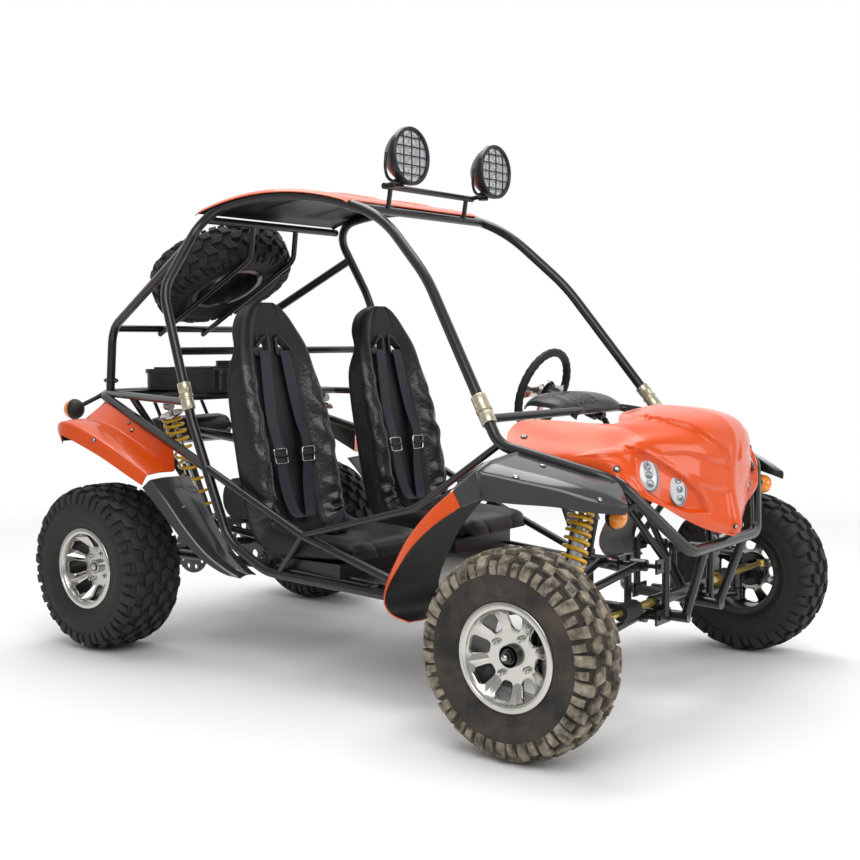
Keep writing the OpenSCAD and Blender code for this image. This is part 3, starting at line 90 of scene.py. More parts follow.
def paint(name, code, rough, metal=0.0, coat=0.0, grain=0.0, grain_mm=1.0, dust=0.0, dust_code="#8A7B66",
          patch_mm=90.0, mottle=0.0, shine=0.5):
    """A finish: colour, roughness, clear coat, a fine grain, and soft patches of dust or of a darker tone."""
    made = bpy.data.materials.new(name)
    made.use_nodes = True
    made.diffuse_color = srgb(code)
    tree = made.node_tree
    shader = tree.nodes["Principled BSDF"]
    for key, value in (("Base Color", srgb(code)), ("Roughness", rough), ("Metallic", metal),
                       ("Coat Weight", coat), ("Coat Roughness", COAT_ROUGH), ("Specular IOR Level", shine)):
        shader.inputs[key].default_value = value
    where = add(tree, "ShaderNodeTexCoord").outputs["Object"]
    if dust or mottle:
        patches = add(tree, "ShaderNodeTexNoise", Vector=where, Scale=1000 / patch_mm, Detail=6.0, Roughness=0.62)
        share = add(tree, "ShaderNodeMapRange", Value=patches.outputs[0], i1=PATCH_FROM, i2=PATCH_TO, i3=0.0,
                    i4=dust or mottle)
        other = srgb(dust_code) if dust else tuple(v * MOTTLE_DARK for v in srgb(code)[:3]) + (1.0,)
        both = add(tree, "ShaderNodeMix", {"data_type": "RGBA"}, Factor=share.outputs[0], i6=srgb(code), i7=other)
        tree.links.new(both.outputs[2], shader.inputs["Base Color"])
    if grain:
        fine = add(tree, "ShaderNodeTexNoise", Vector=where, Scale=1000 / grain_mm, Detail=3.0)
        bump = add(tree, "ShaderNodeBump", Strength=grain, Distance=grain_mm / 4000, Height=fine.outputs[0])
        tree.links.new(bump.outputs[0], shader.inputs["Normal"])
    return made


floor_mesh = bpy.data.meshes.new("floor")
corners = [(x * FLOOR_HALF, y * FLOOR_HALF, 0) for x, y in ((-1, -1), (1, -1), (1, 1), (-1, 1))]
floor_mesh.from_pydata(corners, [], [(0, 1, 2, 3)])
floor = bpy.data.objects.new("floor", floor_mesh)
pale_floor = paint("studio floor", FLOOR_GREY, 0.85)
tree = pale_floor.node_tree
where = add(tree, "ShaderNodeTexCoord").outputs["Object"]
away = add(tree, "ShaderNodeVectorMath", {"operation": "LENGTH"}, i0=where)
fade = add(tree, "ShaderNodeMapRange", {"interpolation_type": "SMOOTHSTEP"}, Value=away.outputs["Value"],
           i1=FLOOR_CLEAR, i2=FLOOR_GONE, i3=1.0, i4=0.0)
tree.links.new(fade.outputs[0], tree.nodes["Principled BSDF"].inputs["Alpha"])
floor_mesh.materials.append(pale_floor)
scene.collection.objects.link(floor)

world = bpy.data.worlds.new("studio")
world.use_nodes = True
sky = world.node_tree.nodes["Background"]
sky.inputs["Color"].default_value = srgb(WORLD_WHITE)
toward = add(world.node_tree, "ShaderNodeTexCoord").outputs["Generated"]
facing = add(world.node_tree, "ShaderNodeVectorMath", {"operation": "DOT_PRODUCT"}, i0=toward, i1=BACKDROP)
glow = add(world.node_tree, "ShaderNodeMapRange", Value=facing.outputs["Value"], i1=0.1, i2=0.5, i3=ROOM, i4=1.0)
world.node_tree.links.new(glow.outputs[0], sky.inputs["Strength"])
scene.world = world
for name, place, aim, size, watts in BOXES:
    lamp = bpy.data.lights.new(name, "AREA")
    lamp.size, lamp.energy = size, watts
    box = bpy.data.objects.new(name, lamp)
    toward = unit(np.array(aim) - np.array(place))
    box.location = place
    box.rotation_euler = math.acos(-toward[2]), 0, math.atan2(toward[1], toward[0]) - math.pi / 2
    scene.collection.objects.link(box)

yaw, pitch, roll = map(math.radians, (CAMERA_YAW, CAMERA_PITCH, CAMERA_ROLL))
ahead = np.array([math.cos(yaw) * math.cos(pitch), math.sin(yaw) * math.cos(pitch), math.sin(pitch)])
across = unit(np.cross(ahead, (0, 0, 1)))
over = np.cross(across, ahead)
stand = np.eye(4)
stand[:3, 0] = math.cos(roll) * across + math.sin(roll) * over
stand[:3, 1] = -math.sin(roll) * across + math.cos(roll) * over
stand[:3, 2] = -ahead
stand[:3, 3] = CAMERA_AT
camera = bpy.data.objects.new("camera", bpy.data.cameras.new("camera"))
camera.data.lens, camera.data.sensor_width = CAMERA_LENS, CAMERA_SENSOR
camera.matrix_world = Matrix([tuple(row) for row in stand])
scene.collection.objects.link(camera)
scene.camera = camera
scene.view_settings.view_transform = "Standard"

# Tubes of the cage and frame
# Bent steel tubes, welded and then painted semi-gloss black, with a slight unevenness in the coat. The arms,
# knuckles, hubs, axle, pedals and muffler wear the same paint.
PAINT_BLACK = "#141416"


def dress(finish, *names):
    """Gives CAD nodes a finish in place of their own."""
    for name in names:
        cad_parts[name].data.materials.clear()
        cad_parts[name].data.materials.append(finish)


black_paint = paint("black paint on steel", PAINT_BLACK, 0.32, coat=0.35, grain=0.06, grain_mm=1.6, mottle=0.25,
                    patch_mm=30)
dress(black_paint, "cage_sides", "cage_cross_tubes", "rear_stays", "front_loop", "sills", "side_braces",
      "rear_loop", "rear_frame", "floor_frame", "front_bulkhead", "light_bar", "spare_rack", "upper_arms",
      "lower_arms", "swing_arm", "pedals", "rack_housing", "knuckle_right", "knuckle_left", "rear_axle",
      "steering_shaft", "front_hub_right", "front_hub_left", "muffler")

# Wheels
# Knobby tyres on ten inch rims. Each tyre is a round carcass with rows of rubber lugs; each rim is a
# machined dish with eight slots, a polished lip and a black barrel behind it.
TYRE_BLACK, TYRE_DUST, LUG_BROWN, LUG_DUST = "#1D1D1E", "#5E5245", "#3E382F", "#ADA28F"
ALLOY, STEEL = "#C9C7C1", "#B9B9B6"
AXLE_X = 922
FRONT_AT, REAR_AT = np.array([AXLE_X, 710, 270]), np.array([-AXLE_X, 545, 288])
SPARE_AT, SPARE_AXIS = (-893.3, 0, 1330), (-0.4688, 0, 0.8833)
# Half sections of the tyres: across, radius
FRONT_HALF = [(0, 257), (28, 256), (50, 252), (66, 243), (76, 228), (80, 212), (81.5, 200), (81.3, 186),
              (79.5, 174), (77.5, 166), (78.5, 163), (75, 156), (69.5, 149), (65.5, 145), (64.6, 141),
              (64.6, 128)]
REAR_HALF = [(0, 275), (50, 274), (82, 268), (98, 258), (107, 243), (112, 224), (114.5, 204), (113.5, 188),
             (110.5, 175), (108, 167), (109, 164), (105, 157), (101, 150), (97.8, 145), (97.1, 141), (97.1, 128)]
# Rows of lugs: middle and half length across, middle and half length along the pitch, slant, height, outer height
FRONT_LUGS = [(17, 14, 0.0, 0.25, 7, 13, 13), (44, 13, 0.46, 0.23, -6, 13, 12), (80, 25, 0.02, 0.21, 4, 12, 3),
              (88, 17, 0.5, 0.15, 0, 9, 2.5)]
REAR_LUGS = [(16, 13, 0.0, 0.26, 8, 13, 13), (46, 14, 0.48, 0.25, -8, 13, 13), (76, 13, 0.02, 0.24, 6, 13, 12),
             (112, 26, 0.5, 0.2, 4, 12, 3), (120, 17, 0.0, 0.15, 0, 9, 2.5)]
TYRE_SIDES, PITCHES = 132, 22
# Rims: half width, height of the face, radius of the bore
FRONT_RIM, REAR_RIM = (68.7, 34, 29.5), (101.2, 40, 16.6)
DISH_RADII = (0, 72, 84, 96, 108, 118, 121)
SLOTS, SLOT_CORNERS, SLOT_RADII = 8, [(68, -14), (68, 14), (115, 26), (115, -26)], [13, 13, 10, 10]
NUT_CIRCLE, NUT_D, NUT_TURN = 55, 17, math.radians(57.5)


def grid_faces(m, n, wrap_m=False, wrap_n=False):
    """Quads over an m by n grid of points, point (i, j) at index i n + j, closed round where it wraps."""
    i, j = np.meshgrid(np.arange(m if wrap_m else m - 1), np.arange(n if wrap_n else n - 1), indexing="ij")
    i, j = i.ravel(), j.ravel()
    k, l = (i + 1) % m, (j + 1) % n
    return np.stack([i * n + j, k * n + j, k * n + l, i * n + l], 1)


def piece(name, points, faces, finish, body="chassis", stands_for=(), slot=None, shade=35):
    """A mesh from points in millimetres and quads. finish is a material, or several and an index for each quad."""
    mesh = bpy.data.meshes.new(name)
    points = (np.asarray(points, float).reshape(-1, 3) - MIDDLE) / 1000
    mesh.from_pydata(points.tolist(), [], np.asarray(faces).tolist())
    finishes, which = finish if isinstance(finish, tuple) else ((finish,), np.zeros(len(faces)))
    for each in finishes:
        mesh.materials.append(each)
    mesh.polygons.foreach_set("material_index", np.asarray(which, np.int32))
    mesh.polygons.foreach_set("use_smooth", np.ones(len(faces), bool))
    mesh.validate()
    mesh.set_sharp_from_angle(angle=math.radians(shade))
    made = bpy.data.objects.new(name, mesh)
    scene.collection.objects.link(made)
    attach(made, body)
    if stands_for:
        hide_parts(*stands_for)
    return made


def repeated(quads, count, times):
    """The quads of a mesh of count points, for that many copies of it one after another."""
    return (quads[None] + count * np.arange(times)[:, None, None]).reshape(-1, 4)


def joined(parts):
    """Several (points, quads) as one."""
    points = [p.reshape(-1, 3) for p, f in parts]
    first = np.cumsum([0] + [len(p) for p in points])
    return np.concatenate(points), np.concatenate([f + start for (p, f), start in zip(parts, first)])


def revolve(profile, sides=64):
    """P(a, t) = (r(t) cos a, r(t) sin a, h(t)) for the profile's rows (r, h), with its quads."""
    profile = np.asarray(profile, float)
    a = np.linspace(0, 2 * np.pi, sides, endpoint=False)[:, None]
    p = np.stack([profile[:, 0] * np.cos(a), profile[:, 0] * np.sin(a), profile[:, 1] + 0 * a], -1)
    return p, grid_faces(sides, len(profile), wrap_m=True)[:, ::-1]


def aligned(points, centre, axis, start=(0, 0, 1)):
    """Local points with z turned to axis and x turned as near to start as it goes, moved to centre."""
    w = unit(np.array(axis, float))
    v = unit(np.cross(w, start))
    return centre + points @ np.stack([np.cross(v, w), v, w])


def tyre(half, rows):
    """A carcass turned from its half section, and lugs P = C(w) + h n(w), turned by s / r, over it. Returns points,
    quads and whether each quad is a lug's."""
    half = np.array(half, float)
    section = np.concatenate([half[:0:-1] * (-1, 1), half])
    fine = np.linspace(0, len(section) - 1, 4 * len(section) - 3)
    section = np.stack([np.interp(fine, np.arange(len(section)), section[:, c]) for c in (1, 0)], 1)
    parts = [revolve(section, TYRE_SIDES)]
    length = np.concatenate([[0], np.cumsum(np.linalg.norm(np.diff(half, axis=0), axis=1))])
    a = np.array([-1.0, -0.95, -0.8, 0.8, 0.95, 1.0])
    b = np.array([-1.0, -0.95, -0.82, -0.4, 0, 0.4, 0.82, 0.95, 1.0])
    rise = np.minimum(np.interp(abs(a), (0.8, 0.95, 1), (1, 0.9, -0.2))[:, None],
                      np.interp(abs(b), (0.82, 0.95, 1), (1, 0.9, -0.2))[None, :])
    step = 2 * np.pi / PITCHES

    def at(w, column):
        return np.interp(w, length, half[:, column])
    for middle, long, along, wide, slant, height, outer in rows:
        for side in (-1, 1):
            w = middle + long * b[None, :] + 0 * a[:, None]
            ny, nr = at(w + 4, 1) - at(w - 4, 1), at(w + 4, 0) - at(abs(w - 4), 0)
            h = rise * np.interp(b, (-0.2, 1), (height, outer))[None, :] / np.hypot(ny, nr)
            r, y = at(w, 1) + h * nr, side * (at(w, 0) - h * ny)
            s = (along + wide * a[:, None] + (0.5 if side < 0 else 0)) * step + slant * b[None, :] / half[0, 1]
            turn = s[None] + step * np.arange(PITCHES)[:, None, None]
            p = np.stack([r * np.cos(turn), r * np.sin(turn), y + 0 * turn], -1)
            parts.append((p, repeated(grid_faces(len(a), len(b))[:, ::side], len(a) * len(b), PITCHES)))
    points, quads = joined(parts)
    return points, quads, np.arange(len(quads)) >= len(parts[0][1])


def rounded(corners, radii, steps=6):
    """A closed outline through the corners of a polygon, each turned by an arc of its radius."""
    corners, out = np.array(corners, float), []
    for i, q in enumerate(corners):
        into, away = unit(corners[i - 1] - q), unit(corners[(i + 1) % len(corners)] - q)
        half = math.acos(np.clip(into @ away, -1, 1)) / 2
        middle = q + unit(into + away) * radii[i] / math.sin(half)
        start = q + into * radii[i] / math.tan(half) - middle
        end = q + away * radii[i] / math.tan(half) - middle
        spread = math.acos(np.clip(start @ end / radii[i] ** 2, -1, 1))
        t = np.linspace(0, 1, steps + 1)[:, None]
        out.append(middle + (np.sin((1 - t) * spread) * start + np.sin(t * spread) * end) / math.sin(spread))
    return np.concatenate(out)


def rim(lip, face, bore):
    """A slotted dish. Round each slot, P = q + t (e - q) runs from the slot's edge q to the sector's edge e, on the
    dish's height f(r). The barrel is turned. Returns points, quads and whether each quad is the barrel's."""
    heights = face, face, face + 2, face + 7, face + 16, lip - 9, lip - 4
    outline = rounded(SLOT_CORNERS, SLOT_RADII, 9)
    middle = np.array([90.0, 0])
    polar = np.stack([np.hypot(*outline.T), np.arctan2(outline[:, 1], outline[:, 0])], 1)
    low, high = np.array([bore, -np.pi / SLOTS]), np.array([DISH_RADII[-1], np.pi / SLOTS])
    ray = polar - middle
    with np.errstate(divide="ignore"):
        reach = np.min(np.where(ray > 0, (high - middle) / ray, (low - middle) / ray), 1)
    edge = middle + ray * reach[:, None]
    for corner in [(r, a) for r in (low[0], high[0]) for a in (low[1], high[1])]:
        edge[np.argmin(np.linalg.norm((edge - corner) * (1, middle[0]), axis=1))] = corner
    rings = []
    for t, drop in ((0, 9), (0, 1.6), (0.03, 0.4), (0.08, 0), (0.3, 0), (0.55, 0), (0.8, 0), (1, 0)):
        r, a = (polar + t * (edge - polar)).T
        rings.append((r, a, np.interp(r, DISH_RADII, heights) - drop))
    r, a, h = np.swapaxes(rings, 0, 1)
    turn = a + 2 * np.pi / SLOTS * np.arange(SLOTS)[:, None, None]
    p = np.stack([r * np.cos(turn), r * np.sin(turn), h + 0 * turn], -1)
    faces = repeated(grid_faces(len(rings), len(outline), wrap_n=True), len(rings) * len(outline), SLOTS)
    front = revolve([(119.8, lip - 12), (121, lip - 4), (124, lip - 1.5), (129, lip - 1.5), (130, lip), (138, lip),
                     (140, lip - 1), (141, lip - 3), (139, lip - 5), (132, lip - 6)], 96)
    hole = revolve([(bore, face - 9), (bore, face)], 48)
    back = revolve([(119.8, lip - 12), (119.8, -lip + 4), (122, -lip), (139, -lip), (141, -lip + 2),
                    (139, -lip + 4)], 96)
    points, quads = joined([(p, faces), front, hole, back])
    return points, quads, np.arange(len(quads)) >= len(quads) - len(back[1])


def wheel(name, body, centre, axis, shapes, nodes, up, rubber):
    """One wheel's tyre and rim, set on its axis with a slot turned to up. rubber is the carcass's and the lugs'."""
    (tyre_points, tyre_quads, lugs), (rim_points, rim_quads, barrel) = shapes
    piece(name + "_tyre_rubber", aligned(tyre_points, centre, axis, up), tyre_quads, (rubber, lugs), body,
          nodes[:1], "tyre_rubber", 28)
    piece(name + "_rim_dish", aligned(rim_points, centre, axis, up), rim_quads,
          ((rim_alloy, black_paint), barrel), body, nodes[1:], "alloy", 40)


clean_rubber = paint("tyre rubber", TYRE_BLACK, 0.7, grain=0.5, grain_mm=3, dust=0.12, dust_code=TYRE_DUST,
                     patch_mm=110)
dusty_rubber = paint("dusty tyre rubber", TYRE_BLACK, 0.8, grain=0.5, grain_mm=3, dust=0.7, dust_code=TYRE_DUST,
                     patch_mm=110)
dusty_lugs = paint("dust on lugs", LUG_BROWN, 0.85, grain=0.5, grain_mm=3, dust=0.95, dust_code=LUG_DUST,
                   patch_mm=30)
rim_alloy = paint("machined aluminium", ALLOY, 0.24, metal=1.0, grain=0.05, grain_mm=1.2)
bright_steel = paint("bright steel", STEEL, 0.2, metal=1.0)
front = tyre(FRONT_HALF, FRONT_LUGS), rim(*FRONT_RIM)
rear = tyre(REAR_HALF, REAR_LUGS), rim(*REAR_RIM)
tilt = math.radians(10)
clean, dusty = (clean_rubber, clean_rubber), (dusty_rubber, dusty_lugs)
wheel("front_right", "front_wheel_right", FRONT_AT * (1, -1, 1), (0, -1, 0), front,
      ("front_tyre_right", "front_rim_right"), (-math.cos(tilt), 0, math.sin(tilt)), dusty)
wheel("front_left", "front_wheel_left", FRONT_AT, (0, 1, 0), front,
      ("front_tyre_left", "front_rim_left"), (-1, 0, 0), clean)
wheel("rear_right", "rear_axle", REAR_AT * (1, -1, 1), (0, -1, 0), rear,
      ("rear_tyres", "rear_rims"), (1, 0, 0.1), clean)
wheel("rear_left", "rear_axle", REAR_AT, (0, 1, 0), rear, ("rear_tyres", "rear_rims"), (1, 0, 0), clean)
wheel("spare", "chassis", SPARE_AT, SPARE_AXIS, front, ("spare_tyre", "spare_rim"), (0, 1, 0), clean)

# Hub ends: a black cup with a steel cap on the front wheels, a castle nut behind, and four nuts on each rim
nut = revolve([(0, 0), (NUT_D / 2, 0), (NUT_D / 2, 9), (NUT_D / 2 - 3, 11), (6, 11.5), (5.5, 17), (0, 18)], 12)
cup = revolve([(29, 26), (29, 44), (26.5, 49), (20, 49), (19, 44), (14, 44), (14, 57), (12, 59.5), (0, 59.5)], 40)
cap = revolve([(7.5, 59), (7.5, 63), (9, 64), (9, 69), (6, 73), (0, 74)], 24)
castle = revolve([(15, 40), (24, 40), (24, 54), (21, 57), (13, 57), (12, 60), (0, 61)], 12)
turns = NUT_TURN + np.pi / 2 * np.arange(4)
for name, body, at, side, face, end in (
        ("front_right", "front_wheel_right", FRONT_AT, -1, FRONT_RIM[1], cap),
        ("front_left", "front_wheel_left", FRONT_AT, 1, FRONT_RIM[1], cap),
        ("rear_right", "rear_axle", REAR_AT, -1, REAR_RIM[1], castle),
        ("rear_left", "rear_axle", REAR_AT, 1, REAR_RIM[1], castle)):
    stance = at * (1, side, 1), (0, side, 0), (1, 0, 0)
    nuts = [(nut[0] + (NUT_CIRCLE * math.cos(t), NUT_CIRCLE * math.sin(t), face), nut[1]) for t in turns]
    if end is cap:
        piece(name + "_hub_cup", aligned(cup[0], *stance), cup[1], black_paint, body)
    points, quads = joined(nuts + [end])
    piece(name + "_wheel_nuts", aligned(points, *stance), quads, bright_steel, body)

# Body panels
# Thin glossy mouldings: the orange hood with its raised spine and lamp recesses, grey front fenders,
# orange mudguards behind them, orange rear fenders with grey fronts, and the curved roof.
ORANGE, PANEL_GREY, PANEL_INSIDE = "#DF4F06", "#37383A", "#101011"
PANEL_T = 3.5
# Hood ribs: half width, then x from the front axle and height at eight places from the rear edge to the chin
HOOD_RIBS = [
    (0, (8, 861), (86, 855), (162, 845), (225, 823), (256, 769), (258, 640), (278, 531), (262, 500)),
    (110, (-16, 848), (76, 848), (158, 836), (215, 812), (240, 762), (242, 645), (244, 560), (236, 528)),
    (200, (4, 840), (80, 838), (150, 822), (200, 790), (218, 730), (220, 640), (218, 590), (212, 564)),
    (300, (30, 828), (70, 822), (108, 807), (158, 785), (170, 754), (188, 680), (196, 640), (200, 606)),
    (380, (-176, 838), (-22, 802), (58, 778), (118, 752), (138, 728), (156, 696), (165, 668), (170, 644)),
    (430, (-212, 812), (-90, 782), (10, 762), (76, 748), (108, 736), (122, 722), (130, 708), (136, 694)),
]
HOOD_EDGE = [(736, 487, 778), (806, 478, 758), (872, 468, 742), (922, 458, 730), (962, 450, 720),
             (996, 444, 712), (1014, 441, 708), (1032, 438, 702)]
SPINE = [(0, 200), (1, 193), (1.8, 182), (3, 146), (3.78, 110), (4.42, 38), (5, 30), (7, 26)]
ALMOND = [(360, 778), (339, 762), (261, 713), (171, 650), (108, 574), (195, 580), (310, 618), (362, 650),
          (386, 696)]
FOLDS = [((212, 750), (140, 733), (28, 708), 7), ((160, 659), (105, 645), (17, 632), 6)]
SPINE_LIFT, RECESS, BROW = 11, 15, 5
# Arched panels: x from the axle, height, inner and outer y, lip depth
FRONT_ARCH = [(205, 632, 494, 525, 20), (133, 656, 451, 585, 36), (60, 682, 464, 622, 50),
              (-40, 704, 482, 665, 66), (-116, 722, 497, 705, 74), (-142, 723, 500, 718, 76),
              (-204, 676, 500, 720, 58)]
GUARD_ARCH = [(-208, 672, 496, 720, 54), (-289, 609, 484, 720, 44), (-359, 535, 474, 720, 33),
              (-404, 465, 468, 720, 25), (-436, 403, 466, 720, 17), (-446, 363, 466, 719, 12),
              (-440, 333, 468, 716, 8), (-420, 306, 476, 704, 6), (-384, 288, 490, 680, 5)]
FRONT_LOOP = np.array([(728, 511.3, 775), (1058, 450, 689)])
FRONT_EDGE = [0.99, 0.77, 0.467, 0.236, 0.164]
REAR_ARCH = [(-240, 716, 470, 560, 24), (-226, 768, 440, 586, 40), (-176, 794, 420, 600, 50),
             (-78, 776, 410, 604, 54), (72, 722, 408, 604, 50), (222, 656, 410, 602, 46),
             (280, 628, 416, 600, 42)]
REAR_LOOP = np.array([(-415.9, 531.6, 656.9), (-1180, 355, 882)])
REAR_EDGE = [0.925, 0.912, 0.89, 0.764, 0.568, 0.372, 0.296]
REAR_GUARD = [(296, 611, 416, 600, 42), (358, 548, 420, 590, 40), (430, 456, 420, 572, 34),
              (500, 376, 416, 546, 26), (566, 322, 410, 512, 18), (606, 300, 408, 480, 8)]
NOSE, FENDER_TAIL = (1112, 494, 640), (674, 506, 726)
# Roof: middle and radius of its arc, ends in degrees, half width, and its two pressed ribs
ROOF_X, ROOF_Z, ROOF_R, ROOF_ENDS, ROOF_HALF = -304, 344, 1216.3, (-16, 17.4), 357
RIB_Y, RIB_HALF, RIB_LIFT = 140, 34, 5


def spline(points, count):
    """A Catmull-Rom curve through the rows of points, b + f (c - a) / 2 + f^2 (...) + f^3 (...), at count steps."""
    p = np.asarray(points, float)
    p = np.concatenate([2 * p[:1] - p[1:2], p, 2 * p[-1:] - p[-2:-1]])
    t = np.linspace(0, len(p) - 3, count)
    i = np.minimum(t.astype(int), len(p) - 4)
    f = (t - i).reshape((-1,) + (1,) * (p.ndim - 1))
    a, b, c, d = p[i], p[i + 1], p[i + 2], p[i + 3]
    return b + 0.5 * ((c - a) * f + (2 * a - 5 * b + 4 * c - d) * f ** 2 + (3 * b - a - 3 * c + d) * f ** 3)


def normals(grid):
    """Unit normals of a grid of points, dP/du x dP/dv."""
    n = np.cross(np.gradient(grid, axis=0), np.gradient(grid, axis=1))
    return n / np.maximum(np.linalg.norm(n, axis=2, keepdims=True), 1e-9)


def shell(grid, wall):
    """Both faces of a moulding, P and P - wall n, closed at the edge: points, quads and 1 for each inner quad."""
    m, n = grid.shape[:2]
    inner = grid - wall * normals(grid)
    one = grid_faces(m, n)
    border = np.concatenate([np.arange(n), np.arange(1, m) * n + n - 1, (m - 1) * n + np.arange(n - 2, -1, -1),
                             np.arange(m - 2, 0, -1) * n])
    after, k = np.roll(border, -1), m * n
    edge = np.stack([border, after, after + k, border + k], 1)
    quads = np.concatenate([one, one[:, ::-1] + k, edge])
    which = np.concatenate([np.zeros(len(one)), np.ones(len(one)), np.zeros(len(edge))])
    return np.concatenate([grid.reshape(-1, 3), inner.reshape(-1, 3)]), quads, which


def near(other, at, reach):
    """The point reach mm from at on the way to other, half of the way at most."""
    share = reach / np.maximum(np.linalg.norm(other - at, axis=-1, keepdims=True), 1e-6)
    return at + (other - at) * np.minimum(0.5, share)


def creased(grid, reach, count):
    """Stations smoothed along the rows and straight between columns, each inner column turned over reach mm."""
    grid = spline(grid, count)
    out = [grid[:, 0]]
    for j in range(1, grid.shape[1] - 1):
        at = grid[:, j]
        before, after = near(grid[:, j - 1], at, reach), near(grid[:, j + 1], at, reach)
        out += [before, (2 * at + before + after) / 4, after]
    out.append(grid[:, -1])
    return np.stack(out, 1)


def arch(rows, axle, inner=None):
    """An arched panel's stations: inner edge, crown, shoulder and lip, set out from the arch along its normal."""
    rows = np.array(rows, float)
    line = np.stack([axle + rows[:, 0], 0 * rows[:, 0], rows[:, 1]], 1)
    t = unit(np.gradient(line, axis=0))
    away = np.stack([-t[:, 2], 0 * t[:, 2], t[:, 0]], 1) * (1 if rows[-1, 0] > rows[0, 0] else -1)
    side = np.array([0, 1.0, 0])
    inside, outside = rows[:, 2:3] * side, rows[:, 3:4] * side
    first = line + inside - 6 * away if inner is None else inner
    return np.stack([first, line + inside + 0.3 * (outside - inside) + 1 * away,
                     line + inside + 0.66 * (outside - inside) + 3 * away, line + outside - 9 * side - 3 * away,
                     line + outside - rows[:, 4:5] * away], 1)


def distance(points, outline):
    """Distance of flat points from a closed outline, negative inside it."""
    p, a = points[..., None, :], np.array(outline, float)
    b = np.roll(a, -1, 0)
    t = np.clip(((p - a) * (b - a)).sum(-1) / ((b - a) ** 2).sum(-1), 0, 1)
    far = np.linalg.norm(p - a - t[..., None] * (b - a), axis=-1).min(-1)
    crosses = ((a[:, 1] > p[..., 1]) != (b[:, 1] > p[..., 1])) & (
        p[..., 0] < (b[:, 0] - a[:, 0]) * (p[..., 1] - a[:, 1]) / (b[:, 1] - a[:, 1] + 1e-12) + a[:, 0])
    return np.where(crosses.sum(-1) % 2 == 1, -far, far)


def ease(x):
    """0 below 0, 1 above 1, and 3 x^2 - 2 x^3 between."""
    x = np.clip(x, 0, 1)
    return x * x * (3 - 2 * x)


def moulding(name, grid, finish, node, slot, shade=50):
    """A panel PANEL_T thick that stands for a node, with finish outside and the dark finish inside."""
    points, quads, inner = shell(grid, PANEL_T)
    piece(name, points, quads, ((finish, panel_inside), inner), stands_for=(node,), slot=slot, shade=shade)


orange_panel = paint("orange moulded plastic", ORANGE, 0.3, coat=0.3, grain=0.02, grain_mm=14, shine=0.35)
grey_panel = paint("grey moulded plastic", PANEL_GREY, 0.18, coat=0.5, grain=0.02, grain_mm=12)
panel_inside = paint("panel inside", PANEL_INSIDE, 0.45)

# Hood: P(u, v) through the ribs, raised along its normal for the spine, the folds and the lamp recesses
ribs = np.array([[(AXLE_X + x, y, z) for x, z in row] for y, *row in HOOD_RIBS] + [HOOD_EDGE], float)
flank = np.swapaxes(spline(np.swapaxes(spline(ribs, 97), 0, 1), 141), 0, 1)
v = np.linspace(0, 7, 141)[None, :] + 0 * flank[..., 0]
y, z = flank[..., 1], flank[..., 2]
lift = SPINE_LIFT * ease((np.interp(v, *np.transpose(SPINE)) - y) / 9 + 0.5)
lift *= np.interp(v, (0, 0.8, 4, 4.6, 6, 7), (0.6, 1, 1, 0.6, 0.5, 0.3))
hollow = distance(np.stack([y, z], -1), ALMOND)
ahead_of = ease((v - 2.2) / 0.6)
lift -= RECESS * ease(-hollow / 16) * ahead_of
brow = np.exp(-(hollow / 13) ** 2) * (hollow > -3) * ease((z - 560) / 60)
lift += BROW * brow * ahead_of * ease((y - 60) / 60)
for *fold, drop in FOLDS:
    level = np.interp(y, *np.transpose(sorted(fold)))
    ridge = ease((z - level) / 7 + 0.5) * ease((level + 70 - z) / 60)
    lift += drop * ridge * ease((y - 26) / 10) * ease((hollow - 4) / 22) * ahead_of
n = normals(flank)
flank = flank + lift[..., None] * n * np.where(n[..., 2:] + n[..., :1] < 0, -1, 1)
hood = np.concatenate([flank[:0:-1] * (1, -1, 1), flank])[::-1]
moulding("hood_moulding", hood, orange_panel, "hood", "orange_panel")

# Fenders and mudguards, both sides
rear_inner = REAR_LOOP[0] + (REAR_LOOP[1] - REAR_LOOP[0]) * np.array(REAR_EDGE)[:, None]
front_inner = FRONT_LOOP[0] + (FRONT_LOOP[1] - FRONT_LOOP[0]) * np.array(FRONT_EDGE)[:, None]
front_inner = np.concatenate([[NOSE], front_inner, [FENDER_TAIL]])
front_top = arch(FRONT_ARCH, AXLE_X, front_inner)
crease = np.array([(AXLE_X + x, outer, z) for x, z, inner, outer, lip in FRONT_ARCH], float)
front_top[:, 1] = front_inner + 0.35 * (crease - front_inner) + (0, 0, 4)
front_top[:, 2] = front_inner + 0.7 * (crease - front_inner) + (0, 0, 6)
for name, grid, finish, slot in (
        ("front_fender", front_top[::-1], grey_panel, "grey_panel"),
        ("front_mudguard", arch(GUARD_ARCH, AXLE_X)[::-1], orange_panel, "orange_panel"),
        ("rear_fender", arch(REAR_ARCH, -AXLE_X, rear_inner), orange_panel, "orange_panel"),
        ("rear_mudguard", arch(REAR_GUARD, -AXLE_X), grey_panel, "grey_panel")):
    grid = creased(grid, 7, 49)
    for side, half in (("left", grid), ("right", (grid * (1, -1, 1))[::-1])):
        moulding(name + "_" + side, half, finish, name + "s", slot)

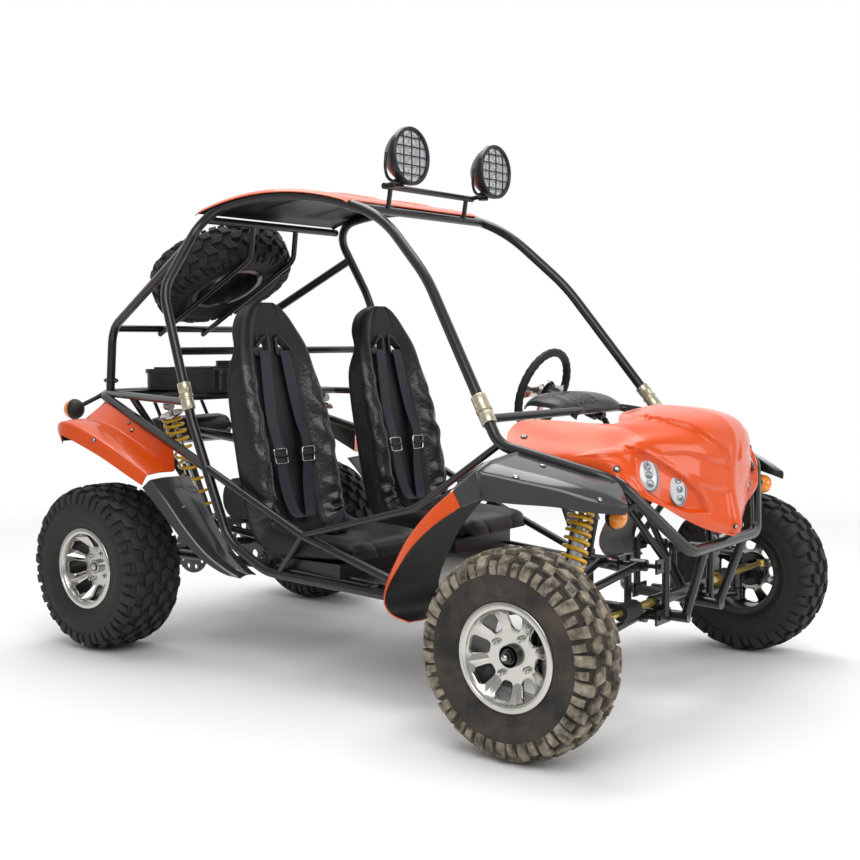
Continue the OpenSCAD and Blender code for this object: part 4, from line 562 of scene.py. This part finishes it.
# Roof: an arc on the rails, P(a, y) = centre + r (sin a, 0, cos a), with pressed ribs along it
a = np.radians(np.linspace(*ROOF_ENDS, 61))[:, None]
y = np.linspace(-ROOF_HALF, ROOF_HALF, 121)[None, :]
turn = np.degrees(a)
rib = RIB_LIFT * ease((np.abs(np.abs(y) - RIB_Y) - RIB_HALF) / -8 + 0.5)
rib = rib * ease((turn + 13) / 2) * ease((14.5 - turn) / 2)
r = ROOF_R + PANEL_T + rib - 9 * ease((np.abs(y) - 345) / 12) - 4 * ease((np.abs(turn - 0.7) - 15.6) / 1.2)
roof = np.stack([ROOF_X + r * np.sin(a), y + 0 * a, ROOF_Z + r * np.cos(a)], -1)
moulding("roof_moulding", roof, orange_panel, "roof_panel", "orange_panel", 35)

# Suspension and steering links
# Painted coil springs over steel dampers, rubber boots on the plated tie rods, and zinc sleeves where the cage
# plugs into the lower frame.
SPRING_YELLOW, RUBBER, ZINC, ROD_ZINC = "#F4BC10", "#161616", "#CFC8B0", "#C8B066"
# Shocks: foot and top on the left side, and how evenly the coils lie
SHOCKS = [((926, 470, 408), (930, 385, 686), 0.62), ((-726, 236, 402), (-754.1, 402.6, 854.6), 0.5)]
COIL_D, WIRE_D, COIL_TURNS, SPRING_INSET = 75, 11, 11, 34
BOOT_AT = (1012, 351, 318)
RIBS = [(25.8 if k % 2 else 22.8, 14 + 6 * k) for k in range(12)]
BOOT = [(10, -0.5), (22.4, 0.5), (23, 9), *RIBS, (22.4, 88.5)]
SLEEVES = [((-500, 535, 888), (-0.2935, -0.0135, 0.956)), ((663, 488, 867), (0.5654, 0.2025, -0.7996))]
SLEEVE = [(16.5, -46), (21, -46), (22, -44), (22, -14), (20.6, -12), (20.6, -6), (23.4, -4), (23.4, 6),
          (20.6, 8), (20.6, 12), (22, 14), (22, 44), (21, 46), (16.5, 46)]


def on_side(side, *places):
    """Places or ways of the left side, kept (side 1) or mirrored to the right (side -1)."""
    return [np.array(place) * (1, side, 1) for place in places]


def sweep(path, radius, sides=10, closed=False):
    """A tube P(t, b) = C(t) + r(t) (cos b e1 + sin b e2), with e1 and e2 carried along the path without twist."""
    path = np.asarray(path, float)
    t = unit(np.roll(path, -1, 0) - np.roll(path, 1, 0) if closed else np.gradient(path, axis=0))
    e = np.zeros_like(path)
    e[0] = unit(np.cross(t[0], (0.31, 0.52, 0.79)))
    for i in range(1, len(path)):
        e[i] = unit(e[i - 1] - (e[i - 1] @ t[i]) * t[i])
    b = np.linspace(0, 2 * np.pi, sides, endpoint=False)[None, :, None]
    r = np.broadcast_to(radius, len(path))[:, None, None]
    p = path[:, None] + r * (np.cos(b) * e[:, None] + np.sin(b) * np.cross(t, e)[:, None])
    return p, grid_faces(len(path), sides, wrap_m=closed, wrap_n=True)[:, ::-1]


def turned(profile, start, axis, sides=32):
    """A profile (r, h) turned about an axis from start."""
    points, quads = revolve(profile, sides)
    upright = abs(axis[2]) >= 0.9 * np.linalg.norm(axis)
    return aligned(points, start, axis, (1, 0, 0) if upright else (0, 0, 1)), quads


spring_paint = paint("yellow spring paint", SPRING_YELLOW, 0.3, coat=0.5)
soft_rubber = paint("rubber boot", RUBBER, 0.6, grain=0.3, grain_mm=4)
zinc_plate = paint("zinc plate", ZINC, 0.34, metal=0.85, grain=0.1, grain_mm=3, mottle=0.4, patch_mm=14)
rod_zinc = paint("yellow zinc plate", ROD_ZINC, 0.3, metal=0.85, grain=0.1, grain_mm=3)
coils = []
for foot, top, crowd in SHOCKS:
    foot, top = np.array(foot, float), np.array(top, float)
    length = np.linalg.norm(top - foot) - 2 * SPRING_INSET - 1
    t = np.linspace(0, 1, 24 * COIL_TURNS + 1)
    rise = WIRE_D / 2 + (length - WIRE_D) * (t + (1 - crowd) * 0.28 * np.sin(np.pi * t))
    turn = 2 * np.pi * COIL_TURNS * t
    r = (COIL_D - WIRE_D) / 2
    local = np.stack([r * np.cos(turn), r * np.sin(turn), rise + SPRING_INSET], 1)
    coils.append(sweep(aligned(local, foot, top - foot, (1, 0, 0)), WIRE_D / 2 - 0.3, 10))
coils += [(p * (1, -1, 1), f[:, ::-1]) for p, f in coils]
piece("coil_springs", *joined(coils), spring_paint, stands_for=("springs",), slot="spring_paint", shade=60)
dress(bright_steel, "dampers")
dress(rod_zinc, "steering_rack")
boots = [turned(BOOT, *on_side(side, BOOT_AT), (0, -side, 0), 28) for side in (-1, 1)]
piece("rack_boots", *joined(boots), soft_rubber, "steering_rack", shade=60)
rings = [turned(SLEEVE, *on_side(side, *sleeve), 40) for sleeve in SLEEVES for side in (-1, 1)]
piece("cage_sleeve_rings", *joined(rings), zinc_plate, stands_for=("cage_sleeves",), slot="zinc_plate")

# Floor and rear frame
# The floor is bright tread plate. The engine is bare cast alloy, and the seat bases and the ribbed tank over the
# engine are black plastic.
TREAD_PLATE, ENGINE_GREY, BOX_BLACK = "#A9A9A6", "#56575A", "#18191B"
TREAD_MM = 22

tread_plate = paint("aluminium tread plate", TREAD_PLATE, 0.36, metal=0.9, dust=0.35, patch_mm=60)
tree = tread_plate.node_tree
where = add(tree, "ShaderNodeTexCoord").outputs["Object"]
cells = add(tree, "ShaderNodeTexVoronoi", Vector=where, Scale=1000 / TREAD_MM)
bump = add(tree, "ShaderNodeBump", Strength=0.7, Distance=0.002, Height=cells.outputs[0])
tree.links.new(bump.outputs[0], tree.nodes["Principled BSDF"].inputs["Normal"])
cast_alloy = paint("cast engine alloy", ENGINE_GREY, 0.5, metal=0.6, grain=0.3, grain_mm=4)
black_plastic = paint("black moulded plastic", BOX_BLACK, 0.34, grain=0.25, grain_mm=2.2)
dress(tread_plate, "floor_pan")
dress(cast_alloy, "engine")
dress(black_plastic, "seat_base", "fuel_tank")

# Lamps
# Four clear oval headlamps sunk in the hood, amber turn signals on short stalks, and two caged round
# spotlights on a bar over the roof.
LENS_WHITE, AMBER, REFLECTOR, CELL_GREY = "#CDD2D6", "#F08A0A", "#D5D8DB", "#83888D"
HEADLAMPS = [((1082, 329, 706), (0.72, 0.52, 0.46)), ((1121, 228, 662), (0.9, 0.36, 0.24))]
LAMP_W, LAMP_H, LAMP_OUT, CELLS = 60, 106, 11, (-36, -12, 12, 36)
CELL = [(9.4, 6.4), (10.6, 8.4), (9.6, 8.8), (7, 6.8), (2.4, 6.2), (2.2, 8.2), (0, 9)]
# Signals: middle, facing, root of the stalk, radius
SIGNALS = [((1071, 478, 598), (1, 0.15, 0), (1085, 390, 628), 29),
           ((-1214.5, 450, 826), (-1, 0.2, 0), (-1162, 352, 880), 37.5)]
SPOT_AT, SPOT_R, SPOT_DEPTH = (220, 231, 1635), 90, 90
GRILLE_UP, GRILLE_ACROSS, GRILLE_INSET = (-40, 0, 40), (-56, -28, 0, 28, 56), 6
FORK = [(-30, -96, 4), (-34, -97, -50), (-40, -70, -86), (-46, 0, -92), (-40, 70, -86), (-34, 97, -50),
        (-30, 96, 4)]
BAR_X, BAR_Z = 110, 1553

clear_lens = paint("clear lamp lens", LENS_WHITE, 0.12, coat=1.0)
spot_lens = paint("ribbed spotlight lens", REFLECTOR, 0.25, metal=0.6, coat=1.0)
amber_lens = paint("amber lens", AMBER, 0.16, coat=1.0)
for glass_finish, glow in ((clear_lens, 0.04), (spot_lens, 0.1)):
    lit = glass_finish.node_tree.nodes["Principled BSDF"].inputs
    lit["Emission Color"].default_value, lit["Emission Strength"].default_value = srgb(LENS_WHITE), glow

# Each headlamp: a bright oval bezel, a domed lens (a x, b y, h (1 - x^2 - y^2)), and four cells in a column
bezels, domes = [], []
a = np.linspace(0, 2 * np.pi, 48, endpoint=False)[:, None]
q = np.linspace(0, 1, 9)[None, :]
height = LAMP_OUT * (1 - q ** 2) ** 0.6 - 3 + 0 * a
dome = np.stack([LAMP_H / 2 * q * np.cos(a), LAMP_W / 2 * q * np.sin(a), height], -1)
a = a[:, 0]
ring = np.stack([(LAMP_H / 2 + 2) * np.cos(a), (LAMP_W / 2 + 2) * np.sin(a), 0 * a - 1.5], 1)
cell, cell_quads = revolve(CELL, 20)
for lamp in HEADLAMPS:
    for side in (-1, 1):
        at, facing = on_side(side, *lamp)
        at = at - 3 * facing
        domes.append((aligned(dome, at, facing), grid_faces(48, 9, wrap_m=True)[:, ::-1]))
        bezels.append(sweep(aligned(ring, at, facing), 2.6, 8, closed=True))
        for place in CELLS:
            lift = LAMP_OUT * (1 - (place / LAMP_H * 2) ** 2) ** 0.6 - 9.5
            bezels.append((aligned(cell + (place, 0, lift), at, facing), cell_quads))
piece("headlamp_lenses", *joined(domes), clear_lens, stands_for=("headlamps",), slot="clear_lens", shade=60)
piece("headlamp_cells", *joined(bezels), paint("lamp cell trim", CELL_GREY, 0.3, metal=0.5), shade=60)

# Turn signals: an amber ball with a black cup behind it and a rubber stalk
balls, stalks = [], []
for *places, r in SIGNALS:
    t = np.radians(np.linspace(0, 100, 13))
    ball = revolve(np.stack([r * np.sin(t), r * np.cos(t)], 1)[::-1], 36)
    t = np.radians(np.linspace(92, 180, 11))
    cup = revolve(np.stack([(r + 1) * np.sin(t), (r + 1) * np.cos(t)], 1), 36)
    t = np.linspace(0, 1, 9)
    for side in (-1, 1):
        centre, way, root = on_side(side, *places)
        balls.append((aligned(ball[0], centre, way), ball[1][:, ::-1]))
        stalks.append((aligned(cup[0], centre, way), cup[1]))
        stalks.append(sweep(root + t[:, None] * (centre - root), np.interp(t, (0, 0.2, 1), (11, 8, 8)), 14))
piece("turn_signal_lenses", *joined(balls), amber_lens, stands_for=("turn_signals",), slot="amber_lens", shade=60)
piece("turn_signal_stalks", *joined(stalks), soft_rubber, shade=60)

# Spotlights: a bowl, a bezel, a bright ribbed reflector and a cage of bars over the lens
bowls, glass, bars = [], [], []
R = SPOT_R
s = np.linspace(-1, 1, 15)
for side in (-1, 1):
    centre, = on_side(side, SPOT_AT)
    bowls.append(turned([(0, -SPOT_DEPTH), (26, -SPOT_DEPTH), (40, -82), (58, -66), (74, -46), (84, -28), (86, -20),
                         (R, -18), (R, -2), (R - 2, 0), (R - 10, 0), (R - 12, -3), (R - 12, -12)],
                        centre, (1, 0, 0), 64))
    glass.append(turned([(0, -16), (12, -15), (13, -11), (24, -11), (25, -15), (40, -14), (41, -10), (54, -10),
                         (55, -13), (68, -12), (69, -8), (R - 11, -8)], centre, (1, 0, 0), 48))
    for places, radius, order in ((GRILLE_UP, 2.6, (0, 1, 2)), (GRILLE_ACROSS, 2.2, (0, 2, 1))):
        for place in places:
            reach = math.sqrt((R - GRILLE_INSET) ** 2 - place ** 2)
            line = np.stack([-1.5 * s ** 2, place + 0 * s, reach * s], 1)[:, order]
            bars.append(sweep(centre + line - (3, 0, 0), radius, 8))
    bars.append(sweep(centre + spline(FORK, 33) * (1, 0.96, 0.86), 5, 8))
    bars.append(turned([(0, -14), (17, -14), (17, 10), (12, 14), (0, 14)], centre + (-56, 0, -78), (0, 0, 1), 20))
    bars.append(sweep(np.linspace(centre + (-50, 0, -76), (BAR_X, centre[1], BAR_Z), 9), 8, 12))
piece("spotlight_housings", *joined(bowls + bars), black_plastic, stands_for=("spotlights",), slot="black_plastic",
      shade=40)
piece("spotlight_lenses", *joined(glass), spot_lens, shade=40)

# Seats and harness
# Two one-piece bucket seats in black leatherette, smooth down the middle and wrinkled on the bolsters, with two
# harness slots under the headrest. Each carries a webbing harness that meets at a buckle on the cushion.
LEATHER, WEBBING, BUCKLE_RED = "#131315", "#242833", "#C8260F"
SEAT_Y, SEAT_W, SEAT_T, ROWS, ROUND = 300, 196, 62, 260, 128
# Stations from the cushion's front to the headrest: x from the rear axle, height, share of the width, bolster
SEAT_SPINE = [(1108, 396, 0.8, 2), (1098, 428, 0.88, 6), (1060, 446, 0.93, 14), (920, 442, 0.96, 30),
              (780, 440, 0.98, 46), (716, 470, 0.99, 60), (684, 560, 1.0, 74), (650, 720, 1.0, 78),
              (612, 900, 0.95, 62), (586, 1040, 0.82, 36), (572, 1130, 0.62, 16), (567, 1176, 0.42, 6),
              (566, 1198, 0.2, 0)]
SLOT_Z, SLOT_OUTLINE, SLOT_CURVES = 1046, [(18, -24), (18, 30), (32, 40), (86, -8), (86, -24)], [7, 7, 7, 9, 7]
STRAP_W, STRAP_T, ADJUSTER_ROW = 46, 2.4, 34
# Shoulder straps: across, height, off the seat. Lap straps run from the buckle to the seat's edge.
SHOULDER = [(46, 1034, 6), (50, 1000, 10), (58, 900, 9), (66, 800, 11), (70, 740, 20), (66, 690, 22),
            (58, 620, 12), (50, 560, 9), (38, 500, 12), (22, 472, 16)]
LAP_Y, BUCKLE_S, LAP_END_S, LAP_HALF_S = [(20,), (80,), (140,), (184,)], 0.285, 0.4, 0.018


def seat_frame(s):
    """Spine point, outward normal, half width and bolster height at places s along the seat, 0 to 1."""
    rows = spline(np.array(SEAT_SPINE) - (AXLE_X, 0, 0, 0), 400)
    at = np.stack([np.interp(s, np.linspace(0, 1, 400), rows[:, c]) for c in range(4)], -1)
    step = unit(np.stack([np.interp(s, np.linspace(0, 1, 400), np.gradient(rows[:, c])) for c in (0, 1)], -1))
    return at[..., :2], np.stack([step[..., 1], -step[..., 0]], -1), at[..., 2] * SEAT_W, at[..., 3]


def seat_height(c, bolster):
    """Height of the padding at the share c across: level in the middle, a sewn groove, then a bolster."""
    b = np.abs(c)
    return bolster * ease((b - 0.42) / 0.42) - 3.5 * np.exp(-((b - 0.47) / 0.03) ** 2)


def on_seat(s, y, out, side):
    """Points at places s along a seat, y mm across it and out mm off its face."""
    at, up, half, bolster = seat_frame(s)
    rise = seat_height(y / half, bolster) + out
    return np.stack([at[..., 0] + up[..., 0] * rise, side * SEAT_Y + y, at[..., 1] + up[..., 1] * rise], -1)


def weld(mesh):
    """Merges a mesh's points that lie at one place and turns all its faces outward."""
    form = bmesh.new()
    form.from_mesh(mesh)
    bmesh.ops.remove_doubles(form, verts=form.verts, dist=1e-6)
    bmesh.ops.recalc_face_normals(form, faces=form.faces)
    form.to_mesh(mesh)
    form.free()


def slab(low, high, corner, steps=5):
    """A block with round corners: each side of a cube, pushed in to |p| = corner past the inner block."""
    low, high = np.array(low, float), np.array(high, float)
    middle, half = (low + high) / 2, (high - low) / 2
    t = np.tan(np.linspace(-np.pi / 4, np.pi / 4, 2 * steps))
    a, b = np.meshgrid(t, t, indexing="ij")
    parts = []
    for axis in range(3):
        for side in (-1, 1):
            n = np.roll(np.stack([np.full_like(a, side), a, b], -1), axis, -1)
            core = np.sign(np.round(n, 9)) * (half - corner)
            parts.append((middle + core + corner * unit(n), grid_faces(2 * steps, 2 * steps)[:, ::side]))
    return joined(parts)


leatherette = paint("black leatherette", LEATHER, 0.32, grain=0.8, grain_mm=12, coat=0.2)
matt_leatherette = paint("matt leatherette", LEATHER, 0.48, grain=0.3, grain_mm=3, shine=0.42)
webbing = paint("woven webbing", WEBBING, 0.6, grain=0.5, grain_mm=1.6)
chance = np.random.default_rng(11)
s = np.linspace(0, 1, ROWS)[:, None]
b = np.linspace(0, 2 * np.pi, ROUND, endpoint=False)[None, :]
c = np.sign(np.cos(b)) * np.abs(np.cos(b)) ** 0.62 + 0 * s
e = np.sign(np.sin(b)) * np.abs(np.sin(b)) ** 0.42 + 0 * s
at, up, half, bolster = seat_frame(s[:, 0])
x, z, nx, nz = (row[:, None] for row in (*at.T, *up.T))
thick = SEAT_T * np.clip(ease(s / 0.05) * 0.7 + 0.3, 0, 1) * np.interp(s, (0, 0.9, 1), (1, 1, 0.55))
thick *= 1 - 0.62 * np.exp(-((z - SLOT_Z) / 52) ** 2)
front = seat_height(c, bolster[:, None])
out = np.where(e > 0, front * e, 0) + thick / 2 * (e - 1)
fold = np.zeros_like(out)
for k in range(12):
    lean, pitch, start = chance.uniform(-26, 26), chance.uniform(60, 210), chance.uniform(0, 6.3)
    fold += np.sin(pitch * s + lean * np.abs(c) * np.sign(np.cos(b)) + start + 1.4 * np.sin(9 * s + k)) / 3
mask = ease((np.abs(c) - 0.5) / 0.2) * ease((s - 0.36) / 0.08) * ease((0.74 - s) / 0.1) * ease((e - 0.05) / 0.4)
out += 3.4 * mask * np.sign(fold) * np.abs(fold) ** 0.7
glossy = (mask > 0.2)[:-1].ravel()
mid = 1.2 * (1 - ease((np.abs(c) - 0.3) / 0.2)) * np.exp(-((s - 0.28) / 0.03) ** 2) * np.sin(30 * c)
out += mid * (e > 0)
for name, side in (("right", -1), ("left", 1)):
    body = np.stack([x + nx * out, side * SEAT_Y + c * half[:, None], z + nz * out], -1)
    ends = body[[0, -1]].mean(1, keepdims=True) + 0 * body[[0, -1]]
    body = np.concatenate([ends[:1], body, ends[1:]])
    seat = piece("seat_" + name, body, grid_faces(ROWS + 2, ROUND, wrap_n=True),
                 ((matt_leatherette, leatherette), np.pad(glossy, ROUND)), stands_for=("seats",),
                 slot="leatherette", shade=70)
    weld(seat.data)
    spine = seat_frame(np.linspace(0.5, 1, 300))[0]
    trims = []
    for hand in (-1, 1):
        outline = (rounded(SLOT_OUTLINE, SLOT_CURVES, 5) * (hand, 1) + (0, SLOT_Z))[::hand]
        at_slot = np.interp(outline[:, 1], spine[:, 1], spine[:, 0])
        ring = np.stack([at_slot, side * SEAT_Y + outline[:, 0], outline[:, 1]], 1)
        hole = np.stack([ring + (60, 0, 12), ring - (120, 0, 24)]).reshape(-1, 3)
        n = len(ring)
        slot_mesh = bpy.data.meshes.new("slot")
        slot_mesh.from_pydata(((hole - MIDDLE) / 1000).tolist(), [], grid_faces(2, n, wrap_n=True).tolist()
                              + [list(range(n))[::-1], list(range(n, 2 * n))])
        weld(slot_mesh)
        cutter = bpy.data.objects.new("slot", slot_mesh)
        scene.collection.objects.link(cutter)
        cut = seat.modifiers.new("slot", "BOOLEAN")
        cut.object, cut.operation, cut.solver = cutter, "DIFFERENCE", "EXACT"
        bpy.context.view_layer.update()
        made = bpy.data.meshes.new_from_object(seat.evaluated_get(bpy.context.evaluated_depsgraph_get()))
        seat.modifiers.remove(cut)
        seat.data = made
        bpy.data.objects.remove(cutter)
        trims.append(sweep(ring + (5, 0, 1.2), 6.5, 10, closed=True))
    made.set_sharp_from_angle(angle=math.radians(70))
    piece("seat_slot_trim_" + name, *joined(trims), black_plastic, shade=60)

# Harness: ribbons P(t, w) along the seat's face, w from -1 to 1 across the webbing
steel_parts, black_parts, red_parts = [], [], []
along = np.linspace(0, 1, 500)[120:]
spine = seat_frame(np.linspace(0, 1, 500))[0][120:]
w = np.linspace(-1, 1, 7)[None, :]
loop = rounded([(-29, -24), (29, -24), (29, 24), (-29, 24)], [5] * 4, 3)
for name, side in (("right", -1), ("left", 1)):
    for hand in (-1, 1):
        line = spline(SHOULDER, 61)
        s = np.interp(line[:, 1], spine[:, 1], along)[:, None]
        out = line[:, 2:] + 1.5 * np.sin(np.linspace(0, 9, 61))[:, None] * w + 4
        top = on_seat(s + 0 * w, hand * line[:, :1] + w * STRAP_W / 2, out, side)
        strap = piece(f"shoulder_strap_{name}_{'inner' if hand * side < 0 else 'outer'}",
                      *shell(top[::-1], STRAP_T)[:2], webbing, shade=60)
        spot, ahead = top[ADJUSTER_ROW, 3], unit(top[ADJUSTER_ROW + 1, 3] - top[ADJUSTER_ROW - 1, 3])
        off = np.cross(ahead, (0, 1, 0))
        off = off if off[0] > 0 else -off
        frame_line = spot + 4 * off + loop[:, :1] * (0, 1, 0) + loop[:, 1:] * ahead
        steel_parts.append(sweep(frame_line, 3, 8, closed=True))
        black_parts.append(sweep(spot + 6 * off + np.linspace(-27, 27, 5)[:, None] * (0, 1, 0), 5, 12))
    for hand in (-1, 1):
        t = np.linspace(0, 1, 31)[:, None]
        s = BUCKLE_S + (LAP_END_S - BUCKLE_S) * t
        top = on_seat(s + LAP_HALF_S * w, hand * spline(LAP_Y, 31) + 0 * w, 8 + 3 * np.sin(6 * t) + 0 * w, side)
        strap = piece(f"lap_strap_{name}_{'inner' if hand * side < 0 else 'outer'}",
                      *shell(top[::hand], STRAP_T)[:2], webbing, shade=60)
        wide = np.linalg.norm(top[15, 0] - top[15, -1])
    centre = on_seat(np.array(BUCKLE_S), np.array(0.0), np.array(14.0), side)
    black_parts.append(slab(centre - (26, 40, 12), centre + (26, 40, 14), 8, 4))
    red_parts.append(slab(centre + (10, -11, 8), centre + (27, 11, 16.5), 3, 3))
    for y in (-52, 52):
        steel_parts.append(slab(centre + (-8, y - 14, -4), centre + (8, y + 14, 2), 2.5, 3))
piece("harness_adjusters", *joined(steel_parts), bright_steel, shade=40)
piece("harness_buckles", *joined(black_parts), black_plastic, shade=40)
piece("harness_buttons", *joined(red_parts), paint("red button", BUCKLE_RED, 0.35), shade=40)

# Dash cowl and steering wheel
# A domed black cowl with ribbed vents stands over the column, and the wheel has a padded rim on a bright
# three-spoke plate.
# Cowl rows: x from the front axle, height, share of the width
COWL_ROWS = [(-502, 872, 0.82), (-470, 890, 0.94), (-420, 892, 1.0), (-370, 884, 0.98), (-330, 866, 0.9),
             (-306, 842, 0.8)]
COWL_SECTION = [(-1, 1), (-0.93, 0.55), (-0.62, 0.12), (0, 0), (0.62, 0.12), (0.93, 0.55), (1, 1)]
COWL_Y, COWL_HALF, COWL_DROP, VENT_DEPTH, VENTS = 250, 200, 40, 5, 11
COLUMN_SLOPE = math.radians(20)
HUB_AT, COLUMN = np.array([353, 310, 893.0]), np.array([math.cos(COLUMN_SLOPE), 0, -math.sin(COLUMN_SLOPE)])
WHEEL_D, RIM_D, SPOKES = 300, 28, (0, 90, 180)

c, d = spline(COWL_SECTION, 121).T
x, z, wide = (row[:, None] for row in spline(COWL_ROWS, 81).T)
u = np.linspace(0, 1, 81)[:, None]
vent = ease((c + 0.78) / 0.06) * ease((0.1 - c) / 0.06) * ease((u - 0.34) / 0.04) * ease((0.9 - u) / 0.04)
vent = VENT_DEPTH * vent * ease(0.5 + 1.4 * np.sin(2 * np.pi * VENTS * (c * 0.5 + 0.16 * u)))
cowl = np.stack([AXLE_X + x + 0 * c, COWL_Y + wide * c * COWL_HALF, z - COWL_DROP * wide * d - vent], -1)
piece("dash_cowl_moulding", *shell(cowl, PANEL_T)[:2], black_plastic, stands_for=("dash_cowl",),
      slot="black_plastic", shade=45)

facing = HUB_AT, -COLUMN, (0, 1, 0)
t = np.linspace(0, 2 * np.pi, 96, endpoint=False)
ring = (WHEEL_D - RIM_D) / 2 * np.stack([np.cos(t), np.sin(t), 0 * t], 1)
grip = sweep(aligned(ring, *facing), RIM_D / 2 - 0.8 * np.cos(30 * t), 20, closed=True)
piece("steering_wheel_rim", *grip, soft_rubber, "steering_wheel", ("steering_wheel",), "black_plastic", 60)
plates = []
r = np.linspace(30, 126, 13)[:, None]
w = np.linspace(-1, 1, 9)[None, :] * np.interp(r, (30, 60, 100, 126), (28, 18, 16, 24))
lift = -8 - 3 * np.cos(np.pi * w / 40) + 6 * ease((r - 96) / 30)
for turn in np.radians(SPOKES):
    spoke = np.stack([r * np.cos(turn) - w * np.sin(turn), r * np.sin(turn) + w * np.cos(turn), lift], -1)
    points, quads, inner = shell(spoke, 3.5)
    plates.append((aligned(points, *facing), quads))
hub = revolve([(40, -20), (40, -8), (37, -5), (31, -4), (29, 2), (20, 4), (18, 8), (0, 9)], 48)
plates.append((aligned(hub[0], *facing), hub[1]))
piece("steering_wheel_plate", *joined(plates), rim_alloy, "steering_wheel", shade=45)
column = [turned([(10, 10), (10, 236), (16, 236), (16, 250), (0, 250)], HUB_AT, COLUMN, 24),
          turned([(26, 12), (26, 60), (20, 66), (10, 66)], HUB_AT, COLUMN, 32)]
piece("steering_column", *joined(column), black_paint, "steering_wheel", shade=45)

# Fixings
# Screws on black washers hold the hood, bright round heads hold the fenders, and a cross bolt closes each
# rear stay's socket.
# Screws: place on the left side, facing, washer radius and head radius
SCREWS = [((762.3, 438.9, 793.5), (0.218, 0.493, 0.843), 10, 6), ((1046.1, 430.5, 719.3),
          (0.575, 0.68, 0.455), 10, 6),
          ((1198, 22, 531), (0.9, 0.44, -0.08), 8, 5.5), ((886.1, 538.3, 727.8), (0.265, 0.101, 0.959), 9, 8),
          ((873.5, 647.8, 707.7), (0.366, 0.349, 0.863), 9, 8), ((1068.6, 559.2, 652.4),
          (0.573, 0.473, 0.669), 8, 6),
          ((-909.3, 596.9, 732.3), (0.067, 0.984, 0.168), 9, 7), ((-885.1, 450.6, 759.4), (0, 0.793, 0.609), 9, 7),
          ((-917.1, 437.3, 782.6), (0.042, 0.713, 0.7), 7, 5.5), ((-536.1, 528.3, 517.5),
          (0.796, 0, 0.605), 7, 5.5)]
STAY_BOLT, STAY_REACH, STAY_R = (-1135, 340, 930), 38, 5

washers, heads = [], []
for *screw, washer, head in SCREWS:
    for side in (-1, 1):
        at, facing = on_side(side, *screw)
        washers.append(turned([(washer, -4), (washer, 1), (washer - 1, 2), (head - 1, 2)], at, facing, 28))
        heads.append(turned([(head, 1), (head, 3), (head * 0.8, 4.6), (head * 0.45, 5.2), (head * 0.4, 4), (0, 4)],
                            at, facing, 24))
for side in (-1, 1):
    middle, = on_side(side, STAY_BOLT)
    heads.append(turned([(0, -STAY_REACH), (STAY_R, -STAY_REACH), (STAY_R, 1 - STAY_REACH), (STAY_R, STAY_REACH),
                         (0, STAY_REACH)], middle, (1, 0, 0), 16))
    for start, end in ((-30, -22), (22, 30)):
        washers.append(turned([(STAY_R, start), (9, start), (9, end), (STAY_R, end)], middle, (1, 0, 0), 6))
piece("screw_washers", *joined(washers), black_plastic)
piece("screw_heads", *joined(heads), bright_steel)
